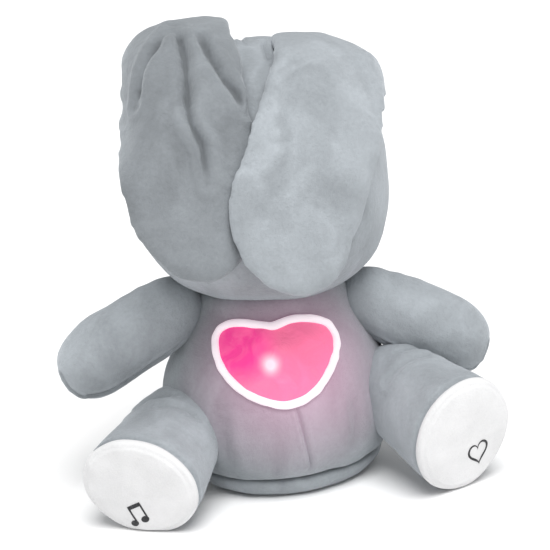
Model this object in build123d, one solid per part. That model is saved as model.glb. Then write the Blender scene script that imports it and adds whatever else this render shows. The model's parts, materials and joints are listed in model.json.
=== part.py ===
from build123d import *
import math
import os

# Seated peek-a-boo bunny, a battery plush toy whose motor lifts its long ears off its face.
# Millimetres. The bunny sits on Z = 0 and faces -Y, and +X is on the right of whoever faces it.

# ------------------------------------------------------------------ driving sizes
FABRIC = 2.0                    # short-pile plush with its backing
SOFT_GAP = 0.6                  # between stuffed parts that turn against each other
WALL = 2.0                      # moulded plastic walls
RUN_FIT = 0.05                  # radial clearance of shafts and pins that turn

TORSO = [(50, 0), (60, 5), (67, 18), (70, 38), (69, 55), (64, 75), (57, 92), (50, 106), (44, 118), (41, 132)]
BASE_BAND = 8.0                 # height of the bottom gusset's visible edge
BACK_FLAT_Y = 57.0              # the sound box presses the back flat here

HEAD_R = 78.0
HEAD_Z = 189.0                  # height of the head's middle
EYE_X = 30.0
EYE_Z = 198.0

HEART_Z = 86.0                  # middle of the glowing heart
HEART_HALF_W = 38.0
HEART_RIM = 5.0
LENS_THICK = 2.4
CUP_R = 27.0                    # reflector cup behind the heart
CUP_BACK_Y = -24.0
LIGHT_BOARD_R = 14.0
LIGHT_BOARD_THICK = 1.6

BOX_HALF_W = 32.0               # sound box
BOX_FRONT_Y = 26.0
BOX_BACK_Y = 58.0
BOX_Z = (14.0, 84.0)
CELL_R = 7.2                    # AA cell
CELL_LENGTH = 50.4
CELL_PITCH = 15.2
CELL_COUNT = 3
DOOR_THICK = 2.2
HINGE_R = 1.5                   # battery door's trunnions
SPEAKER_R = 18.0
SWITCH_TRAVEL = 4.0
WIRE_R = 1.1                    # wires and leads

POST_R = 9.0                    # neck post that carries the gearbox
POST_BORE_R = 6.0

EAR_AXIS = (-10.0, 244.0)       # Y and Z of the shaft that swings the ears
EAR_SHAFT_R = 2.5
EAR_START_DEG = 38.0            # where the flap begins, above the forward direction
EAR_INNER_GAP = 5.5             # ear to head
EAR_THICK = 12.0
EAR_SPLIT = 1.2                 # between the two ears
HUB_X = (64.0, 70.0)            # the paddle's hub on the shaft end
PADDLE_THICK = 1.6
PADDLE_LOW_Z = 212.0            # the paddle's lower edge inside the ear

EAR_MODULE = 0.8                # second stage: lay pinion to ear gears
EAR_TEETH = 16
LAY_PINION_TEETH = 12
DRIVE_MODULE = 0.6              # first stage: motor pinion to lay wheel
DRIVE_TEETH = 12
LAY_WHEEL_TEETH = 36
MESH_SLACK = 0.05               # added to each centre distance
PRESSURE_ANGLE = 25.0
LAY_AXLE_R = 1.0
DRIVE_SHAFT_R = 1.5
DRIVE_BEARING_DEG = -46.0       # direction from the lay axle to the motor axis
GEARHEAD_X = (8.0, 17.0)
MOTOR_X = (17.0, 32.0)
MOTOR_R = 6.0

ARM_ROOT = (60.0, -6.0, 106.0)
ARM_LENGTH = 55.0
ARM_DROP_DEG = 26.0
ARM_ROOT_R = 19.5
ARM_TIP_R = 22.5
SHOULDER_RANGE = (0.0, 50.0)    # degrees, up from rest on the legs

LEG_YAW_DEG = 27.0
LEG_DROP_DEG = 12.0
LEG_ROOT_R = 29.0
FOOT_R = 33.0
FOOT_CENTRE = (95.0, -81.0)     # X and Y of the middle of the sole
LEG_LENGTH = 66.0               # hip ball's centre to the back of the sole
SOLE_THICK = 4.0
HIP_RANGE = (0.0, 16.0)         # degrees, up from rest
FLOOR_GAP = 0.3

BUTTON_R = 11.0                 # press switch behind each sole
BUTTON_LENGTH = 5.0
BUTTON_FIT = 0.08
SPRING_R = 5.0
SPRING_WIRE_R = 0.45
LEAD_CLEAR = 4.0                # leg lead to the root of the stuffing

os.makedirs("parts", exist_ok=True)
made = {}


# ------------------------------------------------------------------ helpers
def keep(name, shape):
    """Name a finished piece and write its file."""
    solids = shape.solids()
    piece = solids[0] if len(solids) == 1 else Compound(children=list(solids))
    made[name] = piece
    export_step(piece, f"parts/{name}.step")
    return shape


def block(x, y, z):
    """Box between two limits on each axis."""
    size = [high - low for low, high in (x, y, z)]
    return Pos(sum(x) / 2, sum(y) / 2, sum(z) / 2) * Box(*size)


def rod(start, end, radius):
    """Round bar between two points."""
    start, end = Vector(*start), Vector(*end)
    low = (Align.CENTER, Align.CENTER, Align.MIN)
    return Plane(origin=start, z_dir=end - start) * Cylinder(radius, (end - start).length, align=low)


def ball(centre, radius):
    return Pos(*centre) * Sphere(radius)


def spin(edges, plane=Plane.XZ):
    """Turn a closed outline, drawn as (radius, height), about the plane's vertical axis."""
    face = make_face([plane.from_local_coords(edge) for edge in edges])
    return revolve(face, axis=Axis(plane.origin, plane.y_dir))


def slab(points, x):
    """Prism along X on an outline of (Y, Z) points."""
    face = Plane.YZ.offset(x[0]) * make_face(Polyline(*points, close=True))
    return extrude(face, x[1] - x[0])


def mirrored(shape):
    return mirror(shape, Plane.YZ)


# ------------------------------------------------------------------ soft body forms
def torso_form(inset):
    """The torso, drawn in from its outer surface by inset."""
    side = [(radius - inset, max(height, inset)) for radius, height in TORSO]
    (low_r, low_z), (top_r, top_z) = side[0], side[-1]
    edges = [Spline(*side), Line((top_r, top_z), (0, top_z)), Line((0, top_z), (0, low_z)),
             Line((0, low_z), (low_r, low_z))]
    flat = block((-90, 90), (BACK_FLAT_Y - inset, 120), (-5, 140))
    return spin(edges) - flat


def head_form(inset):
    """The head's ball, drawn in by inset or grown where inset is negative."""
    return ball((0, 0, HEAD_Z), HEAD_R - inset)


def limb_form(length, root_r, tip_r, flat_end):
    """Stuffed limb along local +Z: a ball at the root, then a cone to a round or a flat end."""
    lean = math.asin((tip_r - root_r) / length) if not flat_end else 0.0
    root = (root_r * math.cos(lean), -root_r * math.sin(lean))
    low = (0, -root_r)
    start = ThreePointArc(low, (root_r * math.cos((lean + math.pi / 2) / 2),
                                -root_r * math.sin((lean + math.pi / 2) / 2)), root)
    if flat_end:
        edges = [start, Line(root, (tip_r, length * 0.45)), Line((tip_r, length * 0.45), (tip_r, length)),
                 Line((tip_r, length), (0, length)), Line((0, length), low)]
        return spin(edges)
    tip = (tip_r * math.cos(lean), length - tip_r * math.sin(lean))
    middle = (math.pi / 2 - lean) / 2
    top = (0, length + tip_r)
    end = ThreePointArc(tip, (tip_r * math.cos(middle), length + tip_r * math.sin(middle)), top)
    return spin([start, Line(root, tip), end, Line(top, low)])


def heart_prism(inset, back_y):
    """Heart outline, inset all round, pushed from the front of the belly to back_y."""
    half = HEART_HALF_W - inset
    top = HEART_HALF_W * 0.62 - inset
    bottom = -HEART_HALF_W * 0.64 + inset * 1.25
    notch = top - HEART_HALF_W * 0.12
    sides = []
    for sign in (1, -1):
        points = [(0, notch), (half * 0.42, top), (half, top * 0.30), (half * 0.62, bottom * 0.50),
                  (0, bottom)]
        tangents = [(sign * 0.8, 0.6), (-sign, -0.55)]
        sides.append(Spline(*[(sign * x, z) for x, z in points], tangents=tangents))
    outline = make_face(sides)
    front = Plane((0, -HEAD_R, HEART_Z), x_dir=(1, 0, 0), z_dir=(0, -1, 0))
    return extrude(front * outline, back_y + HEAD_R, dir=(0, 1, 0))


# ------------------------------------------------------------------ limb frames
def unit(yaw_deg, drop_deg):
    """Direction on the +X side: yaw from straight ahead, then down."""
    yaw, drop = math.radians(yaw_deg), math.radians(drop_deg)
    return Vector(math.sin(yaw) * math.cos(drop), -math.cos(yaw) * math.cos(drop), -math.sin(drop))


arm_frame = Plane(origin=ARM_ROOT, z_dir=unit(90 - 5, ARM_DROP_DEG))
leg_axis = unit(LEG_YAW_DEG, LEG_DROP_DEG)
leg_drop = math.radians(LEG_DROP_DEG)
sole_back_z = FOOT_R * math.cos(leg_drop) + SOLE_THICK * math.sin(leg_drop) + FLOOR_GAP
hip = Vector(*FOOT_CENTRE, sole_back_z) - leg_axis * LEG_LENGTH
leg_frame = Plane(origin=hip, z_dir=leg_axis)


def both_sides(tool):
    return [tool, mirrored(tool)]


# ------------------------------------------------------------------ ear outlines and band
head_outer = head_form(0)
head_inner = head_form(FABRIC)
ear_y, ear_z = EAR_AXIS


def ear_band(near, far, low_z):
    """Curved sheet over the forehead between two distances from the head, hanging to low_z."""
    def tube(gap):
        return shaft((-95, 95), (0, HEAD_Z), HEAD_R + gap)
    reach = 160.0
    start = math.radians(EAR_START_DEG)
    cut = [(ear_y, ear_z), (ear_y - reach * math.cos(start), ear_z + reach * math.sin(start)),
           (-reach - 20, HEAD_Z), (ear_y, HEAD_Z)]
    curved = (tube(far) - tube(near)) & slab(cut, (-95, 95))
    hanging = block((-95, 95), (-HEAD_R - far, -HEAD_R - near), (low_z, HEAD_Z))
    return curved + hanging


# Front outlines as (X, Z), from the inner top corner down and round to the outer top corner.
RIGHT_OUTLINE = [(6, 290), (4, 262), (-3, 247), (-11, 220), (-21, 195), (-25, 178), (-20, 157), (-5, 141),
                 (15, 131.5), (34, 146), (51, 179), (64, 209), (71, 240), (74, 262), (74, 290)]
LEFT_OUTLINE = [(4, 290), (2, 262), (-4, 247), (-8, 220), (-12, 195), (-14, 178), (-20, 160), (-34, 148.5),
                (-47, 150.5), (-60, 162), (-74, 188), (-79, 206), (-79, 223), (-76, 246), (-74, 270),
                (-74, 290)]


def front_prism(outline):
    """An ear's front outline pushed back over the whole face."""
    face = make_face([Spline(*outline[1:-1]), Polyline(outline[-2], outline[-1], outline[0], outline[1])])
    return extrude(Plane((0, -120, 0), x_dir=(1, 0, 0), z_dir=(0, -1, 0)) * face, 130, dir=(0, 1, 0))


# ------------------------------------------------------------------ gears (axes along X)
def gear(teeth, module, x, centre, phase):
    """Spur gear with involute flanks; phase is the angle of one tooth's middle."""
    pressure = math.radians(PRESSURE_ANGLE)
    pitch_r = teeth * module / 2
    base_r, tip_r, root_r = pitch_r * math.cos(pressure), pitch_r + 0.9 * module, pitch_r - 1.15 * module
    thinning = 0.06

    def half_angle(radius):
        lean = math.acos(min(1.0, base_r / radius))
        shift = math.tan(pressure) - pressure - (math.tan(lean) - lean)
        return math.pi / (2 * teeth) - thinning / (2 * pitch_r) + shift

    radii = [root_r, max(base_r, root_r + 0.01), pitch_r, tip_r]
    points = []
    for tooth in range(teeth):
        middle = phase + tooth * 2 * math.pi / teeth
        flank = [(radius, half_angle(max(radius, base_r))) for radius in radii]
        for radius, angle in flank:
            points.append((radius, middle - angle))
        for radius, angle in reversed(flank):
            points.append((radius, middle + angle))
    outline = [(centre[0] + r * math.cos(a), centre[1] + r * math.sin(a)) for r, a in points]
    return slab(outline, x)


def meshing_phase(first_teeth, first_phase, second_teeth, direction):
    """Tooth phase of the second gear so that its gap meets the first gear's tooth."""
    turns = (direction - first_phase) * first_teeth / (2 * math.pi) % 1
    return direction + math.pi - (0.5 - turns) * 2 * math.pi / second_teeth


def shaft(x, centre, radius):
    return rod((x[0], *centre), (x[1], *centre), radius)


lay_distance = EAR_MODULE * (EAR_TEETH + LAY_PINION_TEETH) / 2 + MESH_SLACK
drive_distance = DRIVE_MODULE * (DRIVE_TEETH + LAY_WHEEL_TEETH) / 2 + MESH_SLACK
lay_centre = (ear_y, ear_z - lay_distance)
drive_angle = math.radians(DRIVE_BEARING_DEG)
drive_centre = (lay_centre[0] + drive_distance * math.cos(drive_angle),
                lay_centre[1] + drive_distance * math.sin(drive_angle))

EAR_GEAR_X = (11.0, 16.0)
LAY_PINION_X = (-17.2, 17.2)
LAY_WHEEL_X = (-2.5, 2.5)
CASE_X = (-20.0, 17.5)
LID_X = (17.5, 20.0)
RIB_X = (6.5, 9.0)

ear_phase = math.pi / 2
lay_phase = meshing_phase(EAR_TEETH, ear_phase, LAY_PINION_TEETH, -math.pi / 2)
drive_phase = meshing_phase(LAY_WHEEL_TEETH, lay_phase, DRIVE_TEETH, drive_angle)

lay_bore = shaft((-25, 25), lay_centre, LAY_AXLE_R + RUN_FIT)
lay_gear = (gear(LAY_PINION_TEETH, EAR_MODULE, LAY_PINION_X, lay_centre, lay_phase)
            + gear(LAY_WHEEL_TEETH, DRIVE_MODULE, LAY_WHEEL_X, lay_centre, lay_phase)) - lay_bore
keep("lay_gear", lay_gear)
keep("gear_axle", shaft((-19.0, 19.0), lay_centre, LAY_AXLE_R))

drive_pinion = (gear(DRIVE_TEETH, DRIVE_MODULE, (-3.0, 3.0), drive_centre, drive_phase)
                + shaft((2.9, GEARHEAD_X[0] + 3.0), drive_centre, DRIVE_SHAFT_R))
keep("drive_pinion", drive_pinion)

gearhead = block(GEARHEAD_X, (drive_centre[0] - 6, drive_centre[0] + 6),
                 (drive_centre[1] - 5, drive_centre[1] + 5))
gearhead -= shaft((GEARHEAD_X[0] - 1, GEARHEAD_X[0] + 3.4), drive_centre, DRIVE_SHAFT_R + RUN_FIT)
keep("gearhead", gearhead)
motor = shaft(MOTOR_X, drive_centre, MOTOR_R) + shaft((MOTOR_X[1], MOTOR_X[1] + 1.5), drive_centre, 2.2)
keep("motor", motor)

# The case's inside, as (Y, Z): it wraps the ear gear, the lay gear and the gearhead.
left_y = lay_centre[0] - 12.6
right_y = drive_centre[0] + 8.0
floor_z = drive_centre[1] - 6.3
case_inside = [(ear_y - 8.0, ear_z + 8.3), (ear_y + 8.0, ear_z + 8.3), (ear_y + 12.6, ear_z - 2.0),
               (right_y, ear_z - 14.0), (right_y, floor_z), (left_y, floor_z), (left_y, ear_z - 2.0)]
bosses = [(left_y - 3.2, ear_z - 6.0), (left_y - 3.2, floor_z + 4.0), (right_y + 3.2, floor_z + 6.0),
          (ear_y + 12.9, ear_z + 6.2)]
BOSS_R = 3.2
SCREW_R = 1.1


def case_slice(x):
    grown = offset(make_face(Polyline(*case_inside, close=True)), WALL, kind=Kind.INTERSECTION)
    body = extrude(Plane.YZ.offset(x[0]) * grown, x[1] - x[0])
    for centre in bosses:
        body += shaft(x, centre, BOSS_R)
    return body


hollow = slab(case_inside, (CASE_X[0] + WALL, CASE_X[1] + 1))
ear_bore = shaft((-30, 30), EAR_AXIS, EAR_SHAFT_R + RUN_FIT)
case = case_slice(CASE_X) - hollow
rib_box = [(ear_y - 5.2, ear_z - 4.6), (ear_y + 5.2, ear_z - 4.6),
           (ear_y + 5.2, ear_z + 8.8), (ear_y - 5.2, ear_z + 8.8)]
case += slab(rib_box, RIB_X) + slab(rib_box, (-RIB_X[1], -RIB_X[0]))
case = case - ear_bore - shaft((-19.0, 0), lay_centre, LAY_AXLE_R)
lid = case_slice(LID_X) - ear_bore - shaft((0, 19.0), lay_centre, LAY_AXLE_R)
lid -= shaft((10, 30), drive_centre, MOTOR_R)
gear_screws = Part()
for centre in bosses:
    screw = shaft((CASE_X[0] + 6, LID_X[1]), centre, SCREW_R) + shaft((LID_X[1], LID_X[1] + 1.6), centre, 2.2)
    gear_screws += screw
case -= gear_screws
lid -= gear_screws
keep("gearbox_case", case)
keep("gearbox_lid", lid)
keep("gearbox_screws", gear_screws)
case_block = case_slice((CASE_X[0], LID_X[1])) + gear_screws + motor

# ------------------------------------------------------------------ ears
paddle_gap = EAR_INNER_GAP + (EAR_THICK - PADDLE_THICK) / 2
paddle_sheet = ear_band(paddle_gap, paddle_gap + PADDLE_THICK, HEAD_Z - 1)
arm_angle = math.radians(180 - EAR_START_DEG)
arm_end = 43.0
arm_points = []
for side in (-1, 1):
    for distance in ((2.0, arm_end) if side < 0 else (arm_end, 2.0)):
        lean = arm_angle - 0.02 + side * 3.2 / distance if distance > 10 else arm_angle + side * 1.2
        arm_points.append((ear_y + distance * math.cos(lean), ear_z + distance * math.sin(lean)))


def make_ear(side, band):
    """One ear's soft flap, its plastic paddle and its geared shaft."""
    sign = 1 if side == "right" else -1
    flap = band & front_prism(RIGHT_OUTLINE if side == "right" else LEFT_OUTLINE)
    if side == "left":
        flap -= Pos(-EAR_SPLIT, 0, 0) * front_prism(RIGHT_OUTLINE)

    def span(low, high):
        return (low, high) if sign > 0 else (-high, -low)

    geared = gear(EAR_TEETH, EAR_MODULE, span(*EAR_GEAR_X), EAR_AXIS, ear_phase)
    geared += shaft(span(RIB_X[0] + 0.6, HUB_X[1]), EAR_AXIS, EAR_SHAFT_R)
    keep(f"ear_gear_{side}", geared)

    hub = shaft(span(*HUB_X), EAR_AXIS, 5.5) + slab(arm_points, span(HUB_X[0] + 0.5, HUB_X[1] - 0.5))
    plate = paddle_sheet & block(span(20, HUB_X[1]), (-120, 60), (PADDLE_LOW_Z, 320))
    paddle = hub + plate - shaft((-80, 80), EAR_AXIS, EAR_SHAFT_R)
    keep(f"ear_paddle_{side}", paddle)
    keep(f"ear_{side}", flap - paddle)


soft_band = ear_band(EAR_INNER_GAP, EAR_INNER_GAP + EAR_THICK, 110)
make_ear("left", soft_band)
make_ear("right", soft_band)

# ------------------------------------------------------------------ sound box in the back
x_in = (-(BOX_HALF_W - WALL), BOX_HALF_W - WALL)
door_back = BOX_BACK_Y
door_front = BOX_BACK_Y - DOOR_THICK
cell_y = door_front - 1.0 - CELL_R
bay_front = cell_y - CELL_R - 0.8
bay_z = (BOX_Z[0] + WALL, BOX_Z[0] + WALL + CELL_COUNT * CELL_PITCH + 1.6)
door_top = bay_z[1] + 8.6
shelf_back = door_front - 0.2
post_bottom = BOX_Z[1]
front_bay_back = bay_front - WALL
upper_z = (bay_z[1] + WALL, BOX_Z[1] - WALL)

box_outer = block((-BOX_HALF_W, BOX_HALF_W), (BOX_FRONT_Y, BOX_BACK_Y), BOX_Z)
box_outer = fillet(box_outer.edges().filter_by(Axis.Y), 6)
box = box_outer - block(x_in, (bay_front, 90), bay_z)
box -= block(x_in, (shelf_back, 90), (bay_z[1] - 1, door_top + 0.3))
box -= block(x_in, (0, front_bay_back), (BOX_Z[0] + WALL, BOX_Z[1] - WALL))
box -= block(x_in, (front_bay_back - 1, shelf_back - WALL), upper_z)
box -= block(x_in, (shelf_back - WALL - 1, BOX_BACK_Y - WALL), (door_top + 0.3 + WALL, upper_z[1]))

hinge_y = door_back - DOOR_THICK / 2
hinge_z = bay_z[0] + 2.2
hinge_x = x_in[1] - 0.3
trunnion_end = BOX_HALF_W - 0.6
box -= rod((-trunnion_end, hinge_y, hinge_z), (trunnion_end, hinge_y, hinge_z), HINGE_R + RUN_FIT)

door = block((-hinge_x, hinge_x), (door_front, door_back), (hinge_z, door_top))
door += rod((-hinge_x, hinge_y, hinge_z), (hinge_x, hinge_y, hinge_z), DOOR_THICK / 2)
door += rod((-trunnion_end + 0.3, hinge_y, hinge_z), (trunnion_end - 0.3, hinge_y, hinge_z), HINGE_R)
screw_z = (bay_z[1] + door_top) / 2 + 1.0
door_screw = rod((0, door_back - 8.5, screw_z), (0, door_back - 1.0, screw_z), 1.3)
door_screw += rod((0, door_back - 1.2, screw_z), (0, door_back + 0.4, screw_z), 2.8)
door_screw -= block((-2.2, 2.2), (door_back - 0.4, door_back + 1), (screw_z - 0.4, screw_z + 0.4))
door_screw -= block((-0.4, 0.4), (door_back - 0.4, door_back + 1), (screw_z - 2.2, screw_z + 2.2))
door -= rod((0, 0, screw_z), (0, door_back - 1.2, screw_z), 1.3)
door -= rod((0, door_back - 1.2, screw_z), (0, 90, screw_z), 2.8)
for rib in range(5):
    rib_z = hinge_z + 12 + rib * 3.0
    door += rod((-8, door_back, rib_z), (8, door_back, rib_z), 0.5)
keep("battery_door", door)
keep("door_screw", door_screw)
box += block((-3.4, 3.4), (shelf_back - 8, shelf_back), (screw_z - 3.4, screw_z + 3.4))
box -= rod((0, shelf_back - 7.2, screw_z), (0, 90, screw_z), 1.3 + 0.15)

switch_z = (door_top + 0.3 + WALL + upper_z[1]) / 2
SWITCH_X = 4.0
slot_half = 3.0
box -= block((SWITCH_X - slot_half - 0.3, SWITCH_X + slot_half + SWITCH_TRAVEL + 0.3),
             (BOX_BACK_Y - WALL - 1, 90), (switch_z - 1.3, switch_z + 1.3))
knob = block((SWITCH_X - slot_half, SWITCH_X + slot_half), (BOX_BACK_Y - WALL - 0.6, BOX_BACK_Y + 0.8),
             (switch_z - 1.2, switch_z + 1.2))
knob += block((SWITCH_X - slot_half - 2.0, SWITCH_X + slot_half + 2.0),
              (BOX_BACK_Y - WALL - 1.6, BOX_BACK_Y - WALL - 0.1), (switch_z - 1.9, switch_z + 1.9))
keep("power_switch", knob)

cells = Part()
contacts = Part()
for row in range(CELL_COUNT):
    row_z = bay_z[0] + 0.8 + CELL_PITCH * (row + 0.5)
    half = CELL_LENGTH / 2
    way = 1 if row % 2 == 0 else -1
    cell = rod((-half * way, cell_y, row_z), ((half - 1.2) * way, cell_y, row_z), CELL_R)
    cell += rod(((half - 1.3) * way, cell_y, row_z), (half * way, cell_y, row_z), 2.7)
    cells += cell
    for end in (-1, 1):
        inner, outer = half * end, x_in[1] * end
        plate = block(sorted((outer - 0.5 * end, outer)), (cell_y - 5, cell_y + 5), (row_z - 5, row_z + 5))
        contacts += plate + rod((inner, cell_y, row_z), (outer, cell_y, row_z), 2.2)
keep("batteries", cells)
keep("battery_contacts", contacts)

cover = block((-BOX_HALF_W, BOX_HALF_W), (BOX_FRONT_Y - WALL, BOX_FRONT_Y), BOX_Z)
cover = fillet(cover.edges().filter_by(Axis.Y), 6)
speaker_z = BOX_Z[0] + WALL + 2 + SPEAKER_R
for slot in range(-3, 4):
    half_slot = math.sqrt((SPEAKER_R - 5) ** 2 - (slot * 3.6) ** 2)
    slot_z = speaker_z + slot * 3.6
    cover -= block((-half_slot, half_slot), (0, BOX_FRONT_Y + 1), (slot_z - 0.9, slot_z + 0.9))

frame_y = BOX_FRONT_Y
frame = rod((0, frame_y, speaker_z), (0, frame_y + 1.6, speaker_z), SPEAKER_R)
basket = spin([Line((SPEAKER_R - 1.5, 0), (9.5, 4.4)), Line((9.5, 4.4), (0, 4.4)), Line((0, 4.4), (0, 0)),
               Line((0, 0), (SPEAKER_R - 1.5, 0))],
              Plane((0, frame_y + 1.6, speaker_z), x_dir=(1, 0, 0), z_dir=(0, 0, 1)))
magnet = rod((0, frame_y + 5.9, speaker_z), (0, frame_y + 10.0, speaker_z), 9.0)
cone_space = spin([Line((SPEAKER_R - 2.5, 0), (5.0, 4.0)), Line((5.0, 4.0), (0, 4.0)), Line((0, 4.0), (0, 0)),
                   Line((0, 0), (SPEAKER_R - 2.5, 0))],
                  Plane((0, frame_y, speaker_z), x_dir=(1, 0, 0), z_dir=(0, 0, 1)))
cone_form = spin([Line((SPEAKER_R - 2.5, 0), (5.0, 4.0)), Line((5.0, 4.0), (0, 4.0)), Line((0, 4.0), (0, 3.4)),
                  Line((0, 3.4), (4.6, 3.4)), Line((4.6, 3.4), (SPEAKER_R - 3.9, 0)),
                  Line((SPEAKER_R - 3.9, 0), (SPEAKER_R - 2.5, 0))],
                 Plane((0, frame_y, speaker_z), x_dir=(1, 0, 0), z_dir=(0, 0, 1)))
keep("speaker_frame", frame + basket + magnet - cone_space)
keep("speaker_cone", cone_form)

board_z = (speaker_z + SPEAKER_R + 2.0, BOX_Z[1] - WALL - 1.5)
board_y = (front_bay_back - 3.6, front_bay_back - 2.0)
board = block((-24, 24), board_y, board_z)
for x in (-21, 21):
    for z, back in ((board_z[0] + 3, front_bay_back), (board_z[1] - 3, BOX_BACK_Y - WALL)):
        box += rod((x, board_y[1], z), (x, back + 0.5, z), 2.2)
chips = block((-9, 1), (board_y[0] - 1.8, board_y[0]), (board_z[0] + 4, board_z[1] - 6))
chips += block((8, 18), (board_y[0] - 3.2, board_y[0]), (board_z[0] + 3, board_z[0] + 8))
chips += rod((-16, board_y[0] - 5.0, board_z[0] + 8), (-16, board_y[0], board_z[0] + 8), 2.5)
chips += rod((13, board_y[0] - 4.5, board_z[1] - 5), (13, board_y[0], board_z[1] - 5), 2.5)
keep("main_board", board)
keep("board_parts", chips)

box_screws = Part()
for x, z in [(x, z) for x in (-27.5, 27.5) for z in (BOX_Z[0] + 7, BOX_Z[1] - 7)]:
    box += rod((x, BOX_FRONT_Y, z), (x, front_bay_back + 0.5, z), 2.6)
    screw = rod((x, BOX_FRONT_Y - WALL, z), (x, front_bay_back - 1.0, z), SCREW_R)
    screw += rod((x, BOX_FRONT_Y - WALL - 1.4, z), (x, BOX_FRONT_Y - WALL, z), 2.2)
    box_screws += screw
FOOT_Y = 42.0                   # the post's foot plate is screwed to the box here
for x in (-9, 9):
    screw = rod((x, FOOT_Y, post_bottom - 1.6), (x, FOOT_Y, post_bottom + 3.0), SCREW_R)
    screw += rod((x, FOOT_Y, post_bottom + 3.0), (x, FOOT_Y, post_bottom + 4.4), 2.2)
    box_screws += screw
cover -= box_screws
box -= box_screws
keep("sound_box_cover", cover)
keep("box_screws", box_screws)

# ------------------------------------------------------------------ neck post and wiring
post_top = floor_z - WALL
post = rod((0, 0, post_bottom), (0, 0, post_top), POST_R)
post += block((-14, 14), (-10, FOOT_Y + 6), (post_bottom, post_bottom + 3.0))
wire_exit_z = post_top - 6.0
wire_entry_z = post_bottom + 12.0
post -= rod((0, 0, post_bottom - 1), (0, 0, post_top - 2.0), POST_BORE_R)
for height in (wire_entry_z, wire_exit_z):
    post -= rod((0, 0, height), (POST_R + 5, 0, height), WIRE_R + 1.3)
post -= box_screws
keep("neck_post", post)



def lead(points, bend):
    """Thin bundled leads along straight runs with rounded corners."""
    path = FilletPolyline(*points, radius=bend)
    start = Plane(origin=points[0], z_dir=Vector(*points[1]) - Vector(*points[0]))
    return sweep(start * Circle(WIRE_R), path=path)


HOLE_FIT = 0.4                  # round the leads where they pass through a wall
lead_x, lead_y = 20.0, BOX_FRONT_Y + 5.0
lead_start_z = BOX_Z[1] - 8.0
motor_turn_x = MOTOR_X[1] + 8.0
motor_lead = lead([(lead_x, lead_y, lead_start_z), (lead_x, lead_y, wire_entry_z), (lead_x, 0, wire_entry_z),
                   (0, 0, wire_entry_z), (0, 0, wire_exit_z), (motor_turn_x, 0, wire_exit_z),
                   (motor_turn_x, drive_centre[0], drive_centre[1]),
                   (MOTOR_X[1] + 1.5, drive_centre[0], drive_centre[1])], 3.0)
light_lead = lead([(-lead_x, lead_y, lead_start_z), (-lead_x, lead_y, wire_entry_z),
                   (-lead_x, CUP_BACK_Y, wire_entry_z)], 4.0)
hip_ball_r = LEG_ROOT_R + SOFT_GAP
side_turn = Vector(BOX_HALF_W + 9.0, lead_y + 2.0, BOX_Z[0] + 14.0)
hip_end = hip + (side_turn - hip).normalized() * (hip_ball_r + 0.4)
foot_lead = lead([(BOX_HALF_W - WALL - 1.0, side_turn.Y, side_turn.Z), tuple(side_turn), tuple(hip_end)], 4.0)
loom = motor_lead + light_lead + foot_lead + mirrored(foot_lead)
for x in (-lead_x, lead_x):
    box -= rod((x, lead_y, BOX_Z[1] - WALL - 1), (x, lead_y, BOX_Z[1] + 1), WIRE_R + HOLE_FIT)
box -= rod((-90, side_turn.Y, side_turn.Z), (90, side_turn.Y, side_turn.Z), WIRE_R + HOLE_FIT)
keep("sound_box", box)
keep("wiring_loom", loom)

# ------------------------------------------------------------------ heart window
torso_outer = torso_form(0)
torso_inner = torso_form(FABRIC)
heart_back_y = -CUP_R
heart_cut = heart_prism(0, heart_back_y)
window_cut = heart_prism(HEART_RIM, heart_back_y)
wall_zone = torso_outer - torso_form(LENS_THICK)
keep("heart_lens", wall_zone & window_cut)
keep("heart_rim", (wall_zone & heart_cut) - window_cut)

cup = rod((0, CUP_BACK_Y, HEART_Z), (0, -HEAD_R, HEART_Z), CUP_R)
cup &= torso_form(LENS_THICK)
cup_hollow = rod((0, CUP_BACK_Y - WALL, HEART_Z), (0, -HEAD_R - 5, HEART_Z), CUP_R - WALL)
board_front = CUP_BACK_Y - WALL - LIGHT_BOARD_THICK
keep("light_cup", cup - cup_hollow - light_lead)
keep("light_board", rod((0, CUP_BACK_Y - WALL, HEART_Z), (0, board_front, HEART_Z), LIGHT_BOARD_R))
lights = Part()
for turn in range(3):
    angle = math.radians(90 + 120 * turn)
    x, z = 7.5 * math.cos(angle), HEART_Z + 7.5 * math.sin(angle)
    lights += rod((x, board_front, z), (x, board_front - 4.0, z), 2.5) + ball((x, board_front - 4.0, z), 2.5)
keep("light_leds", lights)

# ------------------------------------------------------------------ torso and head covers


def swing(shape, frame, turn_axis, angle):
    """Turn a limb about its joint."""
    return shape.rotate(Axis(frame.origin, turn_axis), angle)


hip_axis = (leg_axis.Y, -leg_axis.X, 0)
shoulder_axis = (0, -1, 0)
leg_room = leg_frame * limb_form(LEG_LENGTH, LEG_ROOT_R + SOFT_GAP, FOOT_R + SOFT_GAP, flat_end=True)
arm_room = arm_frame * limb_form(ARM_LENGTH, ARM_ROOT_R + SOFT_GAP, ARM_TIP_R + SOFT_GAP, flat_end=False)
sockets = [head_form(-0.2)]
for angle in HIP_RANGE + (sum(HIP_RANGE) / 2,):
    sockets += both_sides(swing(leg_room, leg_frame, hip_axis, angle))
for angle in SHOULDER_RANGE + (sum(SHOULDER_RANGE) / 2,):
    sockets += both_sides(swing(arm_room, arm_frame, shoulder_axis, angle))
box_hole = block((-BOX_HALF_W - 0.2, BOX_HALF_W + 0.2), (BOX_FRONT_Y - WALL - 0.2, 120),
                 (BOX_Z[0] - 0.2, BOX_Z[1] + 0.2))
band_zone = block((-120, 120), (-120, 120), (-1, BASE_BAND))

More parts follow.
